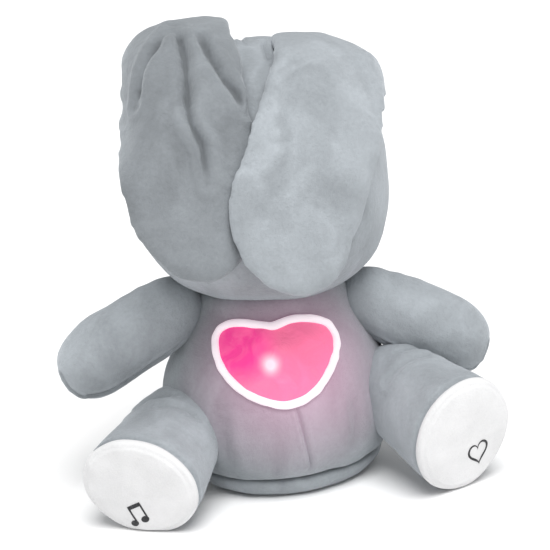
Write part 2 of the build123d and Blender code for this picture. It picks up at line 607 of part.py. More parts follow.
torso_shell = torso_outer - torso_inner
torso_skin = torso_shell - heart_cut - band_zone - box_hole - rod((0, 0, 50), (0, 0, 150), POST_R + 0.2)
torso_fill = torso_inner - (wall_zone & heart_cut) - cup.fuse(cup_hollow & torso_form(LENS_THICK))
torso_fill = torso_fill - box_hole - post - rod((0, 0, post_bottom), (0, 0, 150), POST_R) - box_screws
torso_fill -= rod((-lead_x, lead_y, BOX_Z[1]), (-lead_x, lead_y, wire_entry_z + 2), WIRE_R + 0.2)
torso_fill -= loom
torso_base = torso_shell & band_zone
for socket in sockets:
    torso_skin -= socket
    torso_fill -= socket
    torso_base -= socket
keep("torso_skin", torso_skin)
keep("torso_stuffing", torso_fill)
keep("base_panel", torso_base)

post_hole = rod((0, 0, 90), (0, 0, post_top), POST_R + 0.2)
shaft_hole = shaft((-100, 100), EAR_AXIS, EAR_SHAFT_R + 1.5)

eye_y = -math.sqrt(HEAD_R ** 2 - (EYE_Z - HEAD_Z) ** 2 - EYE_X ** 2)
eye_frame = Plane(origin=(EYE_X, eye_y, EYE_Z), z_dir=(EYE_X, eye_y, EYE_Z - HEAD_Z))
dome = (Pos(0, 0, -6.6) * Sphere(10.3)) & (Pos(0, 0, 4) * Box(30, 30, 10))
eye = eye_frame * (dome + Pos(0, 0, -4.5) * Cylinder(2.0, 9.0))
washer = eye_frame * (Pos(0, 0, -4.0) * (Cylinder(7.0, 1.2) - Cylinder(2.0, 3.0)))
eyes = eye + mirrored(eye)
washers = washer + mirrored(washer)
keep("eyes", eyes)
keep("eye_washers", washers)

NOSE_Z = 180.0
front = Plane((0, -HEAD_R - 20, 0), x_dir=(1, 0, 0), z_dir=(0, -1, 0))


def stitched(outline, height):
    """Embroidery: an outline pushed onto the face and left standing by height."""
    prism = extrude(front * outline, 60, dir=(0, 1, 0))
    return prism & (head_form(-height) - head_form(0.6))


nose = stitched(make_face(Polyline((-8, NOSE_Z + 5), (8, NOSE_Z + 5), (0, NOSE_Z - 5), close=True)), 1.6)
face_parts = nose + stitched(make_face(Polyline((-0.8, NOSE_Z - 5.4), (0.8, NOSE_Z - 5.4), (0.8, NOSE_Z - 11.4),
                                                (-0.8, NOSE_Z - 11.4), close=True)), 0.9)
for side in (-1, 1):
    mouth = Polyline((side * 0.2, NOSE_Z - 11.6), (side * 5, NOSE_Z - 14.6), (side * 11, NOSE_Z - 11.0),
                     (side * 11, NOSE_Z - 12.6), (side * 5, NOSE_Z - 16.4), (side * 0.2, NOSE_Z - 13.4), close=True)
    face_parts += stitched(make_face(mouth), 0.9)
keep("face_stitching", face_parts)

head_skin = head_outer - head_inner - post_hole - shaft_hole - eyes - face_parts
head_fill = head_inner - post_hole - shaft_hole - case_block - eyes - washers - loom
keep("head_skin", head_skin)
keep("head_stuffing", head_fill)

# ------------------------------------------------------------------ arms
arm_cover = limb_form(ARM_LENGTH, ARM_ROOT_R, ARM_TIP_R, flat_end=False)
arm_filling = limb_form(ARM_LENGTH, ARM_ROOT_R - FABRIC, ARM_TIP_R - FABRIC, flat_end=False)
for side, turn in (("right", lambda shape: shape), ("left", mirrored)):
    keep(f"arm_{side}_skin", turn(arm_frame * (arm_cover - arm_filling)))
    keep(f"arm_{side}_stuffing", turn(arm_frame * arm_filling))

# ------------------------------------------------------------------ legs and foot switches
leg_cover = limb_form(LEG_LENGTH, LEG_ROOT_R, FOOT_R, flat_end=True)
leg_filling = limb_form(LEG_LENGTH, LEG_ROOT_R - FABRIC, FOOT_R - FABRIC, flat_end=True)
sole = Pos(0, 0, LEG_LENGTH + SOLE_THICK / 2) * Cylinder(FOOT_R - 0.5, SOLE_THICK)
sole = fillet(sole.edges().sort_by(Axis.Z)[-1], 2.5)
house_depth = 15.0
house_back = LEG_LENGTH - house_depth
low = (Align.CENTER, Align.CENTER, Align.MIN)
house_block = Pos(0, 0, house_back) * Cylinder(BUTTON_R + BUTTON_FIT + WALL, house_depth, align=low)
house_hollow = Pos(0, 0, house_back + WALL) * Cylinder(BUTTON_R + BUTTON_FIT, house_depth, align=low)
button_front = LEG_LENGTH - 0.4
button = Pos(0, 0, button_front - BUTTON_LENGTH) * Cylinder(BUTTON_R, BUTTON_LENGTH, align=low)
button = fillet(button.edges().sort_by(Axis.Z)[-1], 1.0)
button_hollow = Cylinder(BUTTON_R - WALL, BUTTON_LENGTH - 1.0, align=low)
button -= Pos(0, 0, button_front - BUTTON_LENGTH - 1) * button_hollow
spring_bottom = house_back + WALL
spring_top = button_front - 2.0
spring_height = spring_top - spring_bottom - 1.2
coil = Helix(pitch=spring_height / 4, height=spring_height, radius=SPRING_R)
spring = sweep(Plane(origin=coil @ 0, z_dir=coil % 0) * Circle(SPRING_WIRE_R), path=coil, is_frenet=True)
spring = Pos(0, 0, spring_bottom + 0.6) * spring
lead_start = -LEG_ROOT_R + FABRIC + LEAD_CLEAR
leg_lead = Pos(0, 0, lead_start) * Cylinder(WIRE_R, house_back - lead_start, align=low)
filling = leg_filling - house_block - leg_lead
for side, turn in (("right", lambda shape: shape), ("left", mirrored)):
    keep(f"leg_{side}_skin", turn(leg_frame * (leg_cover - leg_filling)))
    keep(f"leg_{side}_stuffing", turn(leg_frame * filling))
    keep(f"foot_{side}_sole", turn(leg_frame * sole))
    keep(f"foot_{side}_switch", turn(leg_frame * (house_block - house_hollow)))
    keep(f"foot_{side}_button", turn(leg_frame * button))
    keep(f"foot_{side}_spring", turn(leg_frame * spring))
    keep(f"leg_{side}_lead", turn(leg_frame * leg_lead))

print(len(made), "pieces; hip", tuple(hip), "leg axis", tuple(leg_axis), "arm axis", tuple(arm_frame.z_dir))
print("drive axis", drive_centre, "lay axis", lay_centre, "hinge", hinge_y, hinge_z)
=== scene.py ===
import json
import math

import bpy
import numpy as np
from bpy.props import FloatProperty, FloatVectorProperty, IntProperty, PointerProperty
from bpy.types import Operator, Panel, PropertyGroup
from mathutils import Matrix, Vector
from mathutils.bvhtree import BVHTree


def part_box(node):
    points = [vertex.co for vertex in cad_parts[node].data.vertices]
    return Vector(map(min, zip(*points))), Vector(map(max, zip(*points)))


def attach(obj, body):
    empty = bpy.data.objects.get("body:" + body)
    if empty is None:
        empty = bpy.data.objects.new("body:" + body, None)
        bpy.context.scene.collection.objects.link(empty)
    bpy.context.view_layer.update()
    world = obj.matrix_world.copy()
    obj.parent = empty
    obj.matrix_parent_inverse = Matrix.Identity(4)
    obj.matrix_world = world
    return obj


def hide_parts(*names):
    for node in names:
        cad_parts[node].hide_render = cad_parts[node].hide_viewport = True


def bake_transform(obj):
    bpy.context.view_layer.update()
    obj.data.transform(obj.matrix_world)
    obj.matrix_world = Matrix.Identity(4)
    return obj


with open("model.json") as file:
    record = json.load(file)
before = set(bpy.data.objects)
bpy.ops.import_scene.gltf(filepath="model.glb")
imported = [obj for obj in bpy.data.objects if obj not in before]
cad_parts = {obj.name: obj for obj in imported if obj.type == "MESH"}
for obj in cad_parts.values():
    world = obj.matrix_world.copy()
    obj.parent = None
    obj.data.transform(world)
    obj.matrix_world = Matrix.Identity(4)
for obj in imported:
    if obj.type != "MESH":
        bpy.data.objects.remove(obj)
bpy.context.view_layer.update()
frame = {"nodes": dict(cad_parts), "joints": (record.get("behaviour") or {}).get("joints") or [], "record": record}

bl_info = {
    "name": "Peek-a-boo plush bunny",
    "version": (1, 0, 0),
    "blender": (4, 5, 0),
    "location": "View3D > Sidebar > Bunny",
    "description": "Plush covers, glowing heart and plastic finishes on the bunny's mechanical frame",
    "category": "Object",
}

MM = 0.001
SIDES = {"left": -1.0, "right": 1.0}


# ------------------------------------------------------------------ places read from the frame (mm)
def box_mm(node):
    """A node's lowest and highest corner in millimetres."""
    low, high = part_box(node)
    return np.array(low) / MM, np.array(high) / MM


def joint(name):
    return next(entry for entry in frame["joints"] if entry["name"] == name)


def pivot_mm(name):
    return np.array(joint(name)["pos_m"]) / MM


head_low, head_high = box_mm("head_skin")
HEAD_R = (head_high[0] - head_low[0]) / 2
HEAD_C = np.array([0.0, 0.0, head_high[2] - HEAD_R])
TORSO_R, TORSO_BACK_Y, TORSO_TOP_Z = box_mm("torso_skin")[1]
BASE_TOP_Z = box_mm("base_panel")[1][2]
HEART_C = sum(box_mm("heart_rim")) / 2
SOUND_BOX = box_mm("sound_box")
EAR_AXIS = pivot_mm("left_ear_swing")
SHOULDER = pivot_mm("right_shoulder")
HIP = pivot_mm("right_hip")
LEG_DIR = -np.array(joint("right_foot_press")["axis"])
FLOOR_GAP = 0.2                  # lowest point of the legs and soles above the floor


# ------------------------------------------------------------------ settings a user would change
class PlushSettings(PropertyGroup):
    """Colours and pile of the covers"""
    grey: FloatVectorProperty(name="Plush grey", description="Middle colour of the grey pile",
                              subtype="COLOR", size=3, min=0, max=1, default=(0.305, 0.328, 0.347))
    white: FloatVectorProperty(name="Sole white", description="Colour of the soles and the heart's rim",
                               subtype="COLOR", size=3, min=0, max=1, default=(0.70, 0.70, 0.705))
    pile: FloatProperty(name="Pile bump", description="How strongly the pile shows", subtype="FACTOR",
                        min=0, max=1, default=0.55)
    rumple: FloatProperty(name="Rumple", description="Height of the soft unevenness of stuffed parts, in mm",
                          min=0, max=3, default=0.5)


class HeartSettings(PropertyGroup):
    """Light behind the heart"""
    pink: FloatVectorProperty(name="Heart pink", description="Colour of the lit fabric",
                              subtype="COLOR", size=3, min=0, max=1, default=(0.80, 0.17, 0.30))
    hot_pink: FloatVectorProperty(name="Hot pink", description="Deeper colour of the upper left part",
                                  subtype="COLOR", size=3, min=0, max=1, default=(0.76, 0.035, 0.24))
    glow: FloatProperty(name="Glow", description="Strength of the light through the heart",
                        min=0, max=5, default=0.8)


class StuffingSettings(PropertyGroup):
    """How the soft parts are filled"""
    voxel: FloatProperty(name="Voxel", description="Remesh size before inflation, in mm",
                         min=2, max=8, default=4.0)
    pressure: FloatProperty(name="Pressure", description="Cloth pressure that fills the covers",
                            min=0, max=20, default=4.0)
    frames: IntProperty(name="Frames", description="Length of the inflation", min=5, max=60, default=18)


class StageSettings(PropertyGroup):
    """Floor, lights and camera"""
    key_strength: FloatProperty(name="Key light", description="Strength of the soft sun",
                                min=0, max=20, default=2.9)
    fill_power: FloatProperty(name="Fill light", description="Power of the opposite light",
                              unit="POWER", min=0, max=500, default=1.0)
    sky: FloatProperty(name="Sky", description="Brightness of the even white surroundings",
                       min=0, max=3, default=0.50)
    distance: FloatProperty(name="Camera distance", description="From the toy's middle",
                            unit="LENGTH", min=0.3, max=5, default=1.15)


# ------------------------------------------------------------------ mesh helpers
def activate(obj):
    """Make obj the only selected and active object."""
    bpy.ops.object.select_all(action="DESELECT")
    obj.select_set(True)
    bpy.context.view_layer.objects.active = obj


def stored_coords(obj):
    """Vertex places as they are stored: metres, or units of a new primitive."""
    data = np.empty(len(obj.data.vertices) * 3)
    obj.data.vertices.foreach_get("co", data)
    return data.reshape(-1, 3)


def coords(obj):
    """Vertex places in millimetres."""
    return stored_coords(obj) / MM


def place_coords(obj, places):
    obj.data.vertices.foreach_set("co", (np.asarray(places) * MM).ravel())
    obj.data.update()


def normals(obj):
    data = np.empty(len(obj.data.vertices) * 3)
    obj.data.vertex_normals.foreach_get("vector", data)
    return data.reshape(-1, 3)


def smooth_shaded(obj):
    for polygon in obj.data.polygons:
        polygon.use_smooth = True


def keep_above(obj, height):
    """Flatten what lies below a height."""
    places = coords(obj)
    places[:, 2] = np.maximum(places[:, 2], height)
    place_coords(obj, places)


def primitive(kind, **values):
    """A new mesh primitive as the only selected object."""
    bpy.ops.object.select_all(action="DESELECT")
    getattr(bpy.ops.mesh, f"primitive_{kind}_add")(**values)
    return bpy.context.active_object


def smooth_step(value):
    value = np.clip(value, 0.0, 1.0)
    return value * value * (3 - 2 * value)


def lofted(name, segments, rings, place):
    """A ball whose every point is carried to place(along, round): 0 to 1 along, an angle round."""
    obj = primitive("uv_sphere", segments=segments, ring_count=rings, radius=1.0)
    obj.name = obj.data.name = name
    ball = stored_coords(obj)
    along = np.arccos(np.clip(ball[:, 2], -1, 1)) / math.pi
    place_coords(obj, place(along, np.arctan2(ball[:, 1], ball[:, 0])))
    return obj


def outward(obj):
    """Recalculate the normals so that faces point out."""
    activate(obj)
    bpy.ops.object.mode_set(mode="EDIT")
    bpy.ops.mesh.select_all(action="SELECT")
    bpy.ops.mesh.normals_make_consistent(inside=False)
    bpy.ops.mesh.select_all(action="DESELECT")
    bpy.ops.object.mode_set(mode="OBJECT")


def use_modifier(obj, kind, **values):
    """Add a modifier with these values and apply it."""
    activate(obj)
    bpy.ops.object.modifier_add(type=kind)
    modifier = obj.modifiers[-1]
    for key, value in values.items():
        setattr(modifier, key, value)
    bpy.ops.object.modifier_apply(modifier=modifier.name)


def remesh(obj, voxel_mm):
    use_modifier(obj, "REMESH", mode="VOXEL", voxel_size=voxel_mm * MM, use_smooth_shade=True)


def merged(name, pieces):
    """Join several closed meshes into one object."""
    bpy.ops.object.select_all(action="DESELECT")
    for piece in pieces:
        piece.select_set(True)
    bpy.context.view_layer.objects.active = pieces[0]
    bpy.ops.object.join()
    pieces[0].name = pieces[0].data.name = name
    return pieces[0]


def path_distance(places, path):
    """Distance from each place to a run of points."""
    best = np.full(len(places), 1e9)
    points = np.asarray(path, float)
    for start, end in zip(points[:-1], points[1:]):
        run = end - start
        part = np.clip(((places - start) @ run) / max(run @ run, 1e-9), 0, 1)
        best = np.minimum(best, np.linalg.norm(places - start - part[:, None] * run, axis=1))
    return best


def flowing(path, count=40):
    """A smooth run of points through the given ones."""
    points = np.asarray(path, float)
    ends = np.vstack([2 * points[0] - points[1], points, 2 * points[-1] - points[-2]])
    result = []
    for index in range(1, len(ends) - 2):
        a, b, c, d = ends[index - 1:index + 3]
        for t in np.linspace(0, 1, max(2, count // (len(points) - 1)), endpoint=False):
            result.append(0.5 * (2 * b + (c - a) * t + (2 * a - 5 * b + 4 * c - d) * t ** 2
                                 + (3 * b - a - 3 * c + d) * t ** 3))
    result.append(points[-1])
    return np.array(result)


def crease(obj, path, width, depth, ridge=0.0, taper=True):
    """Press a soft valley along a path, with a low ridge each side."""
    places, out = coords(obj), normals(obj)
    line = flowing(path)
    distance = path_distance(places, line)
    fade = 1.0
    if taper:
        length = np.linalg.norm(line[-1] - line[0]) + 1e-6
        ends = np.minimum(np.linalg.norm(places - line[0], axis=1), np.linalg.norm(places - line[-1], axis=1))
        fade = smooth_step(ends / (0.22 * length) + 0.25)
    shape = -depth * np.exp(-(distance / width) ** 2)
    shape += ridge * np.exp(-((distance - 2.1 * width) / width) ** 2)
    place_coords(obj, places + out * (shape * fade)[:, None])


def swell(obj, centre, reach, height):
    """Raise (or sink) a round area."""
    places, out = coords(obj), normals(obj)
    fall = np.exp(-((places - np.asarray(centre)) ** 2 @ (1 / np.asarray(reach, float) ** 2)))
    place_coords(obj, places + out * (height * fall)[:, None])


def rumple(obj, size, height, seed):
    """Soft unevenness: a few dozen crossing waves of about the given size."""
    chance = np.random.default_rng(seed)
    places, out = coords(obj), normals(obj)
    total = np.zeros(len(places))
    for _ in range(24):
        direction = chance.normal(size=3)
        direction *= 2 * math.pi / (size * chance.uniform(0.7, 1.6) * np.linalg.norm(direction))
        total += np.sin(places @ direction + chance.uniform(0, 2 * math.pi))
    place_coords(obj, places + out * (height * total / math.sqrt(24))[:, None])


def relax(obj, turns):
    use_modifier(obj, "SMOOTH", factor=0.5, iterations=turns)


def stuff(obj, cap, seams=(), voxel=None, seam_width=3.0):
    """Fill a cover with cloth pressure, held at its seams, no point moving more than cap mm."""
    settings = bpy.context.scene.bunny_stuffing
    remesh(obj, voxel or settings.voxel)
    relax(obj, 3)
    before = coords(obj)
    held = np.zeros(len(before))
    for seam in seams:
        held = np.maximum(held, np.exp(-(path_distance(before, flowing(seam)) / seam_width) ** 2))
    group = obj.vertex_groups.new(name="seams")
    for index, weight in enumerate(held):
        if weight > 0.02:
            group.add([index], float(weight), "REPLACE")
    cloth = obj.modifiers.new("Cloth", "CLOTH")
    cloth.settings.quality = 6
    cloth.settings.mass = 0.2
    cloth.settings.tension_stiffness = 12
    cloth.settings.compression_stiffness = 12
    cloth.settings.bending_stiffness = 0.4
    cloth.settings.use_pressure = True
    cloth.settings.uniform_pressure_force = settings.pressure
    cloth.settings.vertex_group_mass = "seams"
    cloth.settings.effector_weights.gravity = 0.0
    cloth.point_cache.frame_end = settings.frames
    scene = bpy.context.scene
    for number in range(1, settings.frames + 1):
        scene.frame_set(number)
    shown = obj.evaluated_get(bpy.context.evaluated_depsgraph_get())
    data = np.empty(len(before) * 3)
    shown.data.vertices.foreach_get("co", data)
    moved = data.reshape(-1, 3) / MM - before
    length = np.linalg.norm(moved, axis=1)
    moved *= (cap * np.tanh(length / cap) / np.maximum(length, 1e-9))[:, None]
    obj.modifiers.remove(cloth)
    obj.vertex_groups.clear()
    scene.frame_set(1)
    place_coords(obj, before + moved)


def refine(obj, levels):
    """Subdivide for the finer folds and seams."""
    use_modifier(obj, "SUBSURF", levels=levels, render_levels=levels)
    smooth_shaded(obj)


def surface_of(obj):
    """Search tree of a finished mesh, in metres."""
    return BVHTree.FromObject(obj, bpy.context.evaluated_depsgraph_get())


def nearest(tree, points):
    """The places on a surface nearest to the given points, in mm."""
    return [np.array(tree.find_nearest(Vector(point) * MM)[0]) / MM for point in points]


def paint(obj, material):
    obj.data.materials.clear()
    obj.data.materials.append(material)


# ------------------------------------------------------------------ materials
class Nodes:
    """A new material with its shader, and short calls for the nodes this toy needs."""

    def __init__(self, name, roughness=0.8, **sockets):
        self.material = bpy.data.materials.new(name)
        self.material.use_nodes = True
        self.tree = self.material.node_tree
        self.shader = self.tree.nodes["Principled BSDF"]
        self.place = self.tree.nodes.new("ShaderNodeTexCoord").outputs["Object"]
        self.shader.inputs["Roughness"].default_value = roughness
        for key, value in sockets.items():
            self.shader.inputs[key.replace("_", " ")].default_value = value

    def link(self, source, target):
        self.tree.links.new(source, target)

    def noise(self, scale, detail=3.0, rough=0.55, distortion=0.0, stretch=None):
        """Noise of this many features to the metre."""
        node = self.tree.nodes.new("ShaderNodeTexNoise")
        node.inputs["Scale"].default_value = scale
        node.inputs["Detail"].default_value = detail
        node.inputs["Roughness"].default_value = rough
        node.inputs["Distortion"].default_value = distortion
        source = self.place
        if stretch:
            mapping = self.tree.nodes.new("ShaderNodeMapping")
            mapping.inputs["Scale"].default_value = stretch
            self.link(self.place, mapping.inputs["Vector"])
            source = mapping.outputs["Vector"]
        self.link(source, node.inputs["Vector"])
        return node.outputs["Fac"]

    def ramp(self, source, *stops):
        """Colours placed along a value."""
        node = self.tree.nodes.new("ShaderNodeValToRGB")
        elements = node.color_ramp.elements
        while len(elements) < len(stops):
            elements.new(0.5)
        for element, (where, colour) in zip(elements, stops):
            element.position = where
            element.color = (*colour, 1.0)
        self.link(source, node.inputs["Fac"])
        return node.outputs["Color"]

    def math(self, operation, first, second=0.0, clamp=False):
        node = self.tree.nodes.new("ShaderNodeMath")
        node.operation = operation
        node.use_clamp = clamp
        for socket, value in zip(node.inputs, (first, second)):
            if isinstance(value, (int, float)):
                socket.default_value = value
            else:
                self.link(value, socket)
        return node.outputs["Value"]

    def mix(self, factor, first, second, blend="MIX"):
        node = self.tree.nodes.new("ShaderNodeMix")
        node.data_type = "RGBA"
        node.blend_type = blend
        for name, value in (("Factor", factor), ("A", first), ("B", second)):
            kind = "VALUE" if name == "Factor" else "RGBA"
            socket = next(entry for entry in node.inputs if entry.name == name and entry.type == kind)
            if isinstance(value, (int, float)):
                socket.default_value = value
            elif isinstance(value, tuple):
                socket.default_value = (*value, 1.0)
            else:
                self.link(value, socket)
        return next(entry for entry in node.outputs if entry.type == "RGBA")

    def attribute(self, name):
        node = self.tree.nodes.new("ShaderNodeAttribute")
        node.attribute_name = name
        return node.outputs["Fac"]

    def near(self, centre, reach):
        """1 at a place, falling to 0 at reach metres along each axis."""
        mapping = self.tree.nodes.new("ShaderNodeMapping")
        mapping.vector_type = "TEXTURE"
        mapping.inputs["Location"].default_value = centre
        mapping.inputs["Scale"].default_value = reach
        self.link(self.place, mapping.inputs["Vector"])
        ball = self.tree.nodes.new("ShaderNodeTexGradient")
        ball.gradient_type = "SPHERICAL"
        self.link(mapping.outputs["Vector"], ball.inputs["Vector"])
        return ball.outputs["Fac"]

    def bump(self, *layers):
        """Bump from (height, distance in metres, strength) layers."""
        normal = None
        for height, distance, strength in layers:
            node = self.tree.nodes.new("ShaderNodeBump")
            node.inputs["Distance"].default_value = distance
            node.inputs["Strength"].default_value = strength
            self.link(height, node.inputs["Height"])
            if normal:
                self.link(normal, node.inputs["Normal"])
            normal = node.outputs["Normal"]
        self.link(normal, self.shader.inputs["Normal"])

    def colour(self, source):
        self.link(source, self.shader.inputs["Base Color"])


HALO_STRENGTH = 0.18             # light of the heart that the belly around it gives back


def scaled(colour, factor):
    return tuple(min(1.0, channel * factor) for channel in colour)


def plush_material(name, glowing=False, shade=1.0):
    """Short velvety pile: brushed mottling, painted shade in the hollows and a soft sheen."""
    settings = bpy.context.scene.bunny_plush
    # shade scales this copy's grey: below 1 it is painted shade, above 1 painted light, on the one fabric.
    grey = scaled(settings.grey, shade)
    made = Nodes(name, roughness=0.92, Sheen_Weight=0.55, Sheen_Roughness=0.42, Specular_IOR_Level=0.18)
    made.shader.inputs["Sheen Tint"].default_value = (0.90, 0.95, 1.0, 1.0)
    brushed = made.noise(30, detail=4, rough=0.55, distortion=1.1, stretch=(1.0, 1.0, 0.6))
    patches = made.noise(12, detail=2, rough=0.5, distortion=0.6)
    base = made.ramp(brushed, (0.26, scaled(grey, 0.74)), (0.50, grey), (0.74, scaled(grey, 1.30)))
    worn = made.ramp(patches, (0.35, (0.0, 0.0, 0.0)), (0.70, (0.55, 0.55, 0.55)))
    base = made.mix(worn, base, scaled(grey, 1.34))
    nap = made.noise(420, detail=4, rough=0.7)
    flecks = made.ramp(nap, (0.30, (0.30, 0.31, 0.33)), (0.70, (0.74, 0.75, 0.77)))
    base = made.mix(0.16, base, flecks, "OVERLAY")
    # Painted shade: the grey darkens towards a deep grey where the surface lies deep in a fold.
    hollow = made.attribute("hollow")
    base = made.mix(made.math("MULTIPLY", hollow, 0.62, clamp=True), base, scaled(grey, 0.42))
    # Painted light of the heart: around it the grey turns pink and the fabric glows.
    if glowing:
        heart = tuple((np.array(HEART_C) + (5, 0, -8)) * MM)
        halo = made.near(heart, (0.076, 0.060, 0.066))
        halo = made.math("POWER", halo, 1.2)
        base = made.mix(made.math("MULTIPLY", halo, 0.75), base, (0.62, 0.36, 0.50))
        made.link(made.mix(halo, (0.0, 0.0, 0.0), (0.55, 0.16, 0.30)), made.shader.inputs["Emission Color"])
        made.shader.inputs["Emission Strength"].default_value = HALO_STRENGTH
    made.colour(base)
    fibres = made.noise(1900, detail=2, rough=0.8)
    made.bump((brushed, 0.0022, 0.35 * settings.pile), (nap, 0.0012, 0.9 * settings.pile),
              (fibres, 0.0006, settings.pile))
    return made.material


def velour_material(name, colour, lit=0.0):
    """White short-nap velour with a fine knit."""
    made = Nodes(name, roughness=0.85, Sheen_Weight=0.35, Sheen_Roughness=0.5, Specular_IOR_Level=0.2)
    soft = made.noise(60, detail=3)
    knit = made.noise(900, detail=3, rough=0.7)
    base = made.ramp(soft, (0.3, scaled(colour, 0.94)), (0.7, scaled(colour, 1.04)))
    loops = made.ramp(knit, (0.35, (0.4, 0.4, 0.4)), (0.65, (0.8, 0.8, 0.8)))
    made.colour(made.mix(0.12, base, loops, "OVERLAY"))
    # lit: painted pink glow of the heart's light on the fabric.
    if lit:
        made.shader.inputs["Emission Color"].default_value = (1.0, 0.72, 0.86, 1.0)
        made.shader.inputs["Emission Strength"].default_value = lit
    made.bump((soft, 0.0010, 0.3), (knit, 0.0005, 0.6))
    return made.material


def heart_material():
    """Thin satin lit from behind: hot pink at the upper left, pink elsewhere, a bright spot in the middle."""
    settings = bpy.context.scene.bunny_heart
    made = Nodes("heart_fabric", roughness=0.45, Sheen_Weight=0.3, Specular_IOR_Level=0.35)
    pink, hot = tuple(settings.pink), tuple(settings.hot_pink)
    corner = made.near((-0.028, HEART_C[1] * MM, HEART_C[2] * MM + 0.012), (0.028, 0.05, 0.024))
    folds = made.noise(70, detail=3, rough=0.6, distortion=1.2)
    edge = made.math("ADD", corner, made.math("MULTIPLY", folds, 0.25))
    edge = made.math("MULTIPLY", edge, 1.7, clamp=True)
    base = made.mix(edge, pink, hot)
    base = made.mix(made.ramp(folds, (0.45, (0, 0, 0)), (0.75, (0.35, 0.35, 0.35))), base, scaled(pink, 1.25))
    spot = made.near((-0.008, -0.066, HEART_C[2] * MM + 0.001), (0.009, 0.03, 0.009))
    spot = made.math("MULTIPLY", made.math("POWER", spot, 2.0), 2.0, clamp=True)
    dim = made.mix(0.5, base, (0.0, 0.0, 0.0))
    bright = made.mix(spot, dim, (1.0, 0.86, 0.80))
    made.colour(base)
    made.link(bright, made.shader.inputs["Emission Color"])
    made.shader.inputs["Emission Strength"].default_value = settings.glow
    weave = made.noise(1400, detail=2)
    made.bump((folds, 0.0030, 0.5), (weave, 0.0003, 0.3))
    return made.material


def plain_material(name, colour, roughness, metallic=0.0, grain=900, depth=0.0002, spread=0.08, coat=0.0):
    """Moulded plastic, metal or board with a fine grain and slight colour variation."""
    made = Nodes(name, roughness=roughness, Metallic=metallic, Coat_Weight=coat)
    cloud = made.noise(40, detail=4)
    fine = made.noise(grain, detail=2, rough=0.7)
    made.colour(made.ramp(cloud, (0.3, scaled(colour, 1 - spread)), (0.7, scaled(colour, 1 + spread))))
    spread_rough = made.math("ADD", made.math("MULTIPLY", made.noise(150, detail=3), 0.16), roughness - 0.08)
    made.link(spread_rough, made.shader.inputs["Roughness"])
    made.bump((fine, depth, 0.5))
    return made.material


def print_material():
    """Black printed ink, slightly worn into the nap."""
    made = Nodes("sole_print", roughness=0.6, Specular_IOR_Level=0.3)
    wear = made.noise(700, detail=3, rough=0.7)
    made.colour(made.ramp(wear, (0.35, (0.012, 0.012, 0.014)), (0.75, (0.05, 0.05, 0.055))))
    made.bump((wear, 0.0003, 0.6))
    return made.material


def mark_hollows(obj, gain=1.0, turns=6):
    """Store how deep each point lies in a fold, from 0 to 1, as the attribute hollow."""
    mesh = obj.data
    places, out = coords(obj), normals(obj)
    edges = np.empty(len(mesh.edges) * 2, dtype=np.int64)
    mesh.edges.foreach_get("vertices", edges)
    a, b = edges.reshape(-1, 2).T
    count = np.bincount(np.concatenate([a, b]), minlength=len(places)).astype(float)[:, None]

    def spread(values):
        total = np.zeros_like(values)
        np.add.at(total, a, values[b])
        np.add.at(total, b, values[a])
        return total / np.maximum(count, 1)

    smooth = places
    for _ in range(turns):
        smooth = spread(smooth)
    depth = np.einsum("ij,ij->i", smooth - places, out)[:, None]
    for _ in range(2):
        depth = spread(depth)
    depth = np.clip(depth[:, 0] * gain, 0, 1)
    layer = mesh.attributes.new("hollow", "FLOAT", "POINT")
    layer.data.foreach_set("value", depth)


# ------------------------------------------------------------------ torso
TORSO_SHAPE = [                  # shares of the torso's radius and height
    (0.0, 0.104), (0.60, 0.102), (0.82, 0.104), (0.885, 0.122), (0.95, 0.18), (1.0, 0.29), (0.99, 0.42),
    (0.93, 0.57), (0.84, 0.70), (0.76, 0.80), (0.69, 0.89), (0.64, 0.97), (0.50, 0.99), (0.0, 0.98)]
GUSSET_SHAPE = [(0.0, 0.0), (0.64, 0.0), (0.75, 0.012), (0.83, 0.05), (0.85, 0.09), (0.76, 0.110),
                (0.0, 0.110)]


def body_form(outline):
    """Place function of a round form, its outline in shares of the torso and its back pressed flat."""
    shape = flowing([(share * TORSO_R, 0.0, height * TORSO_TOP_Z) for share, height in outline], 140)
    steps = np.concatenate([[0], np.cumsum(np.linalg.norm(np.diff(shape, axis=0), axis=1))])

    def place(along, round_angle):
        where = (1 - along) * steps[-1]
        radius, height = np.interp(where, steps, shape[:, 0]), np.interp(where, steps, shape[:, 2])
        places = np.stack([radius * np.cos(round_angle), radius * np.sin(round_angle), height], axis=1)
        places[:, 1] = np.minimum(places[:, 1], TORSO_BACK_Y)
        return places
    return place


def level_ring(radius, height):
    """A level circle of points about the toy's middle."""
    turns = np.linspace(0, 2 * math.pi, 49)
    return [(radius * math.cos(turn), radius * math.sin(turn), height) for turn in turns]


def on_front(tree, points):
    """Carry points straight back onto the front of a surface, in mm."""
    way = Vector((0, 1, 0))
    found = []
    for point in points:
        origin = (Vector(point) - way * 300.0) * MM
        hit = tree.ray_cast(origin, way)[0] or tree.find_nearest(Vector(point) * MM)[0]
        found.append(np.array(hit) / MM)
    return found


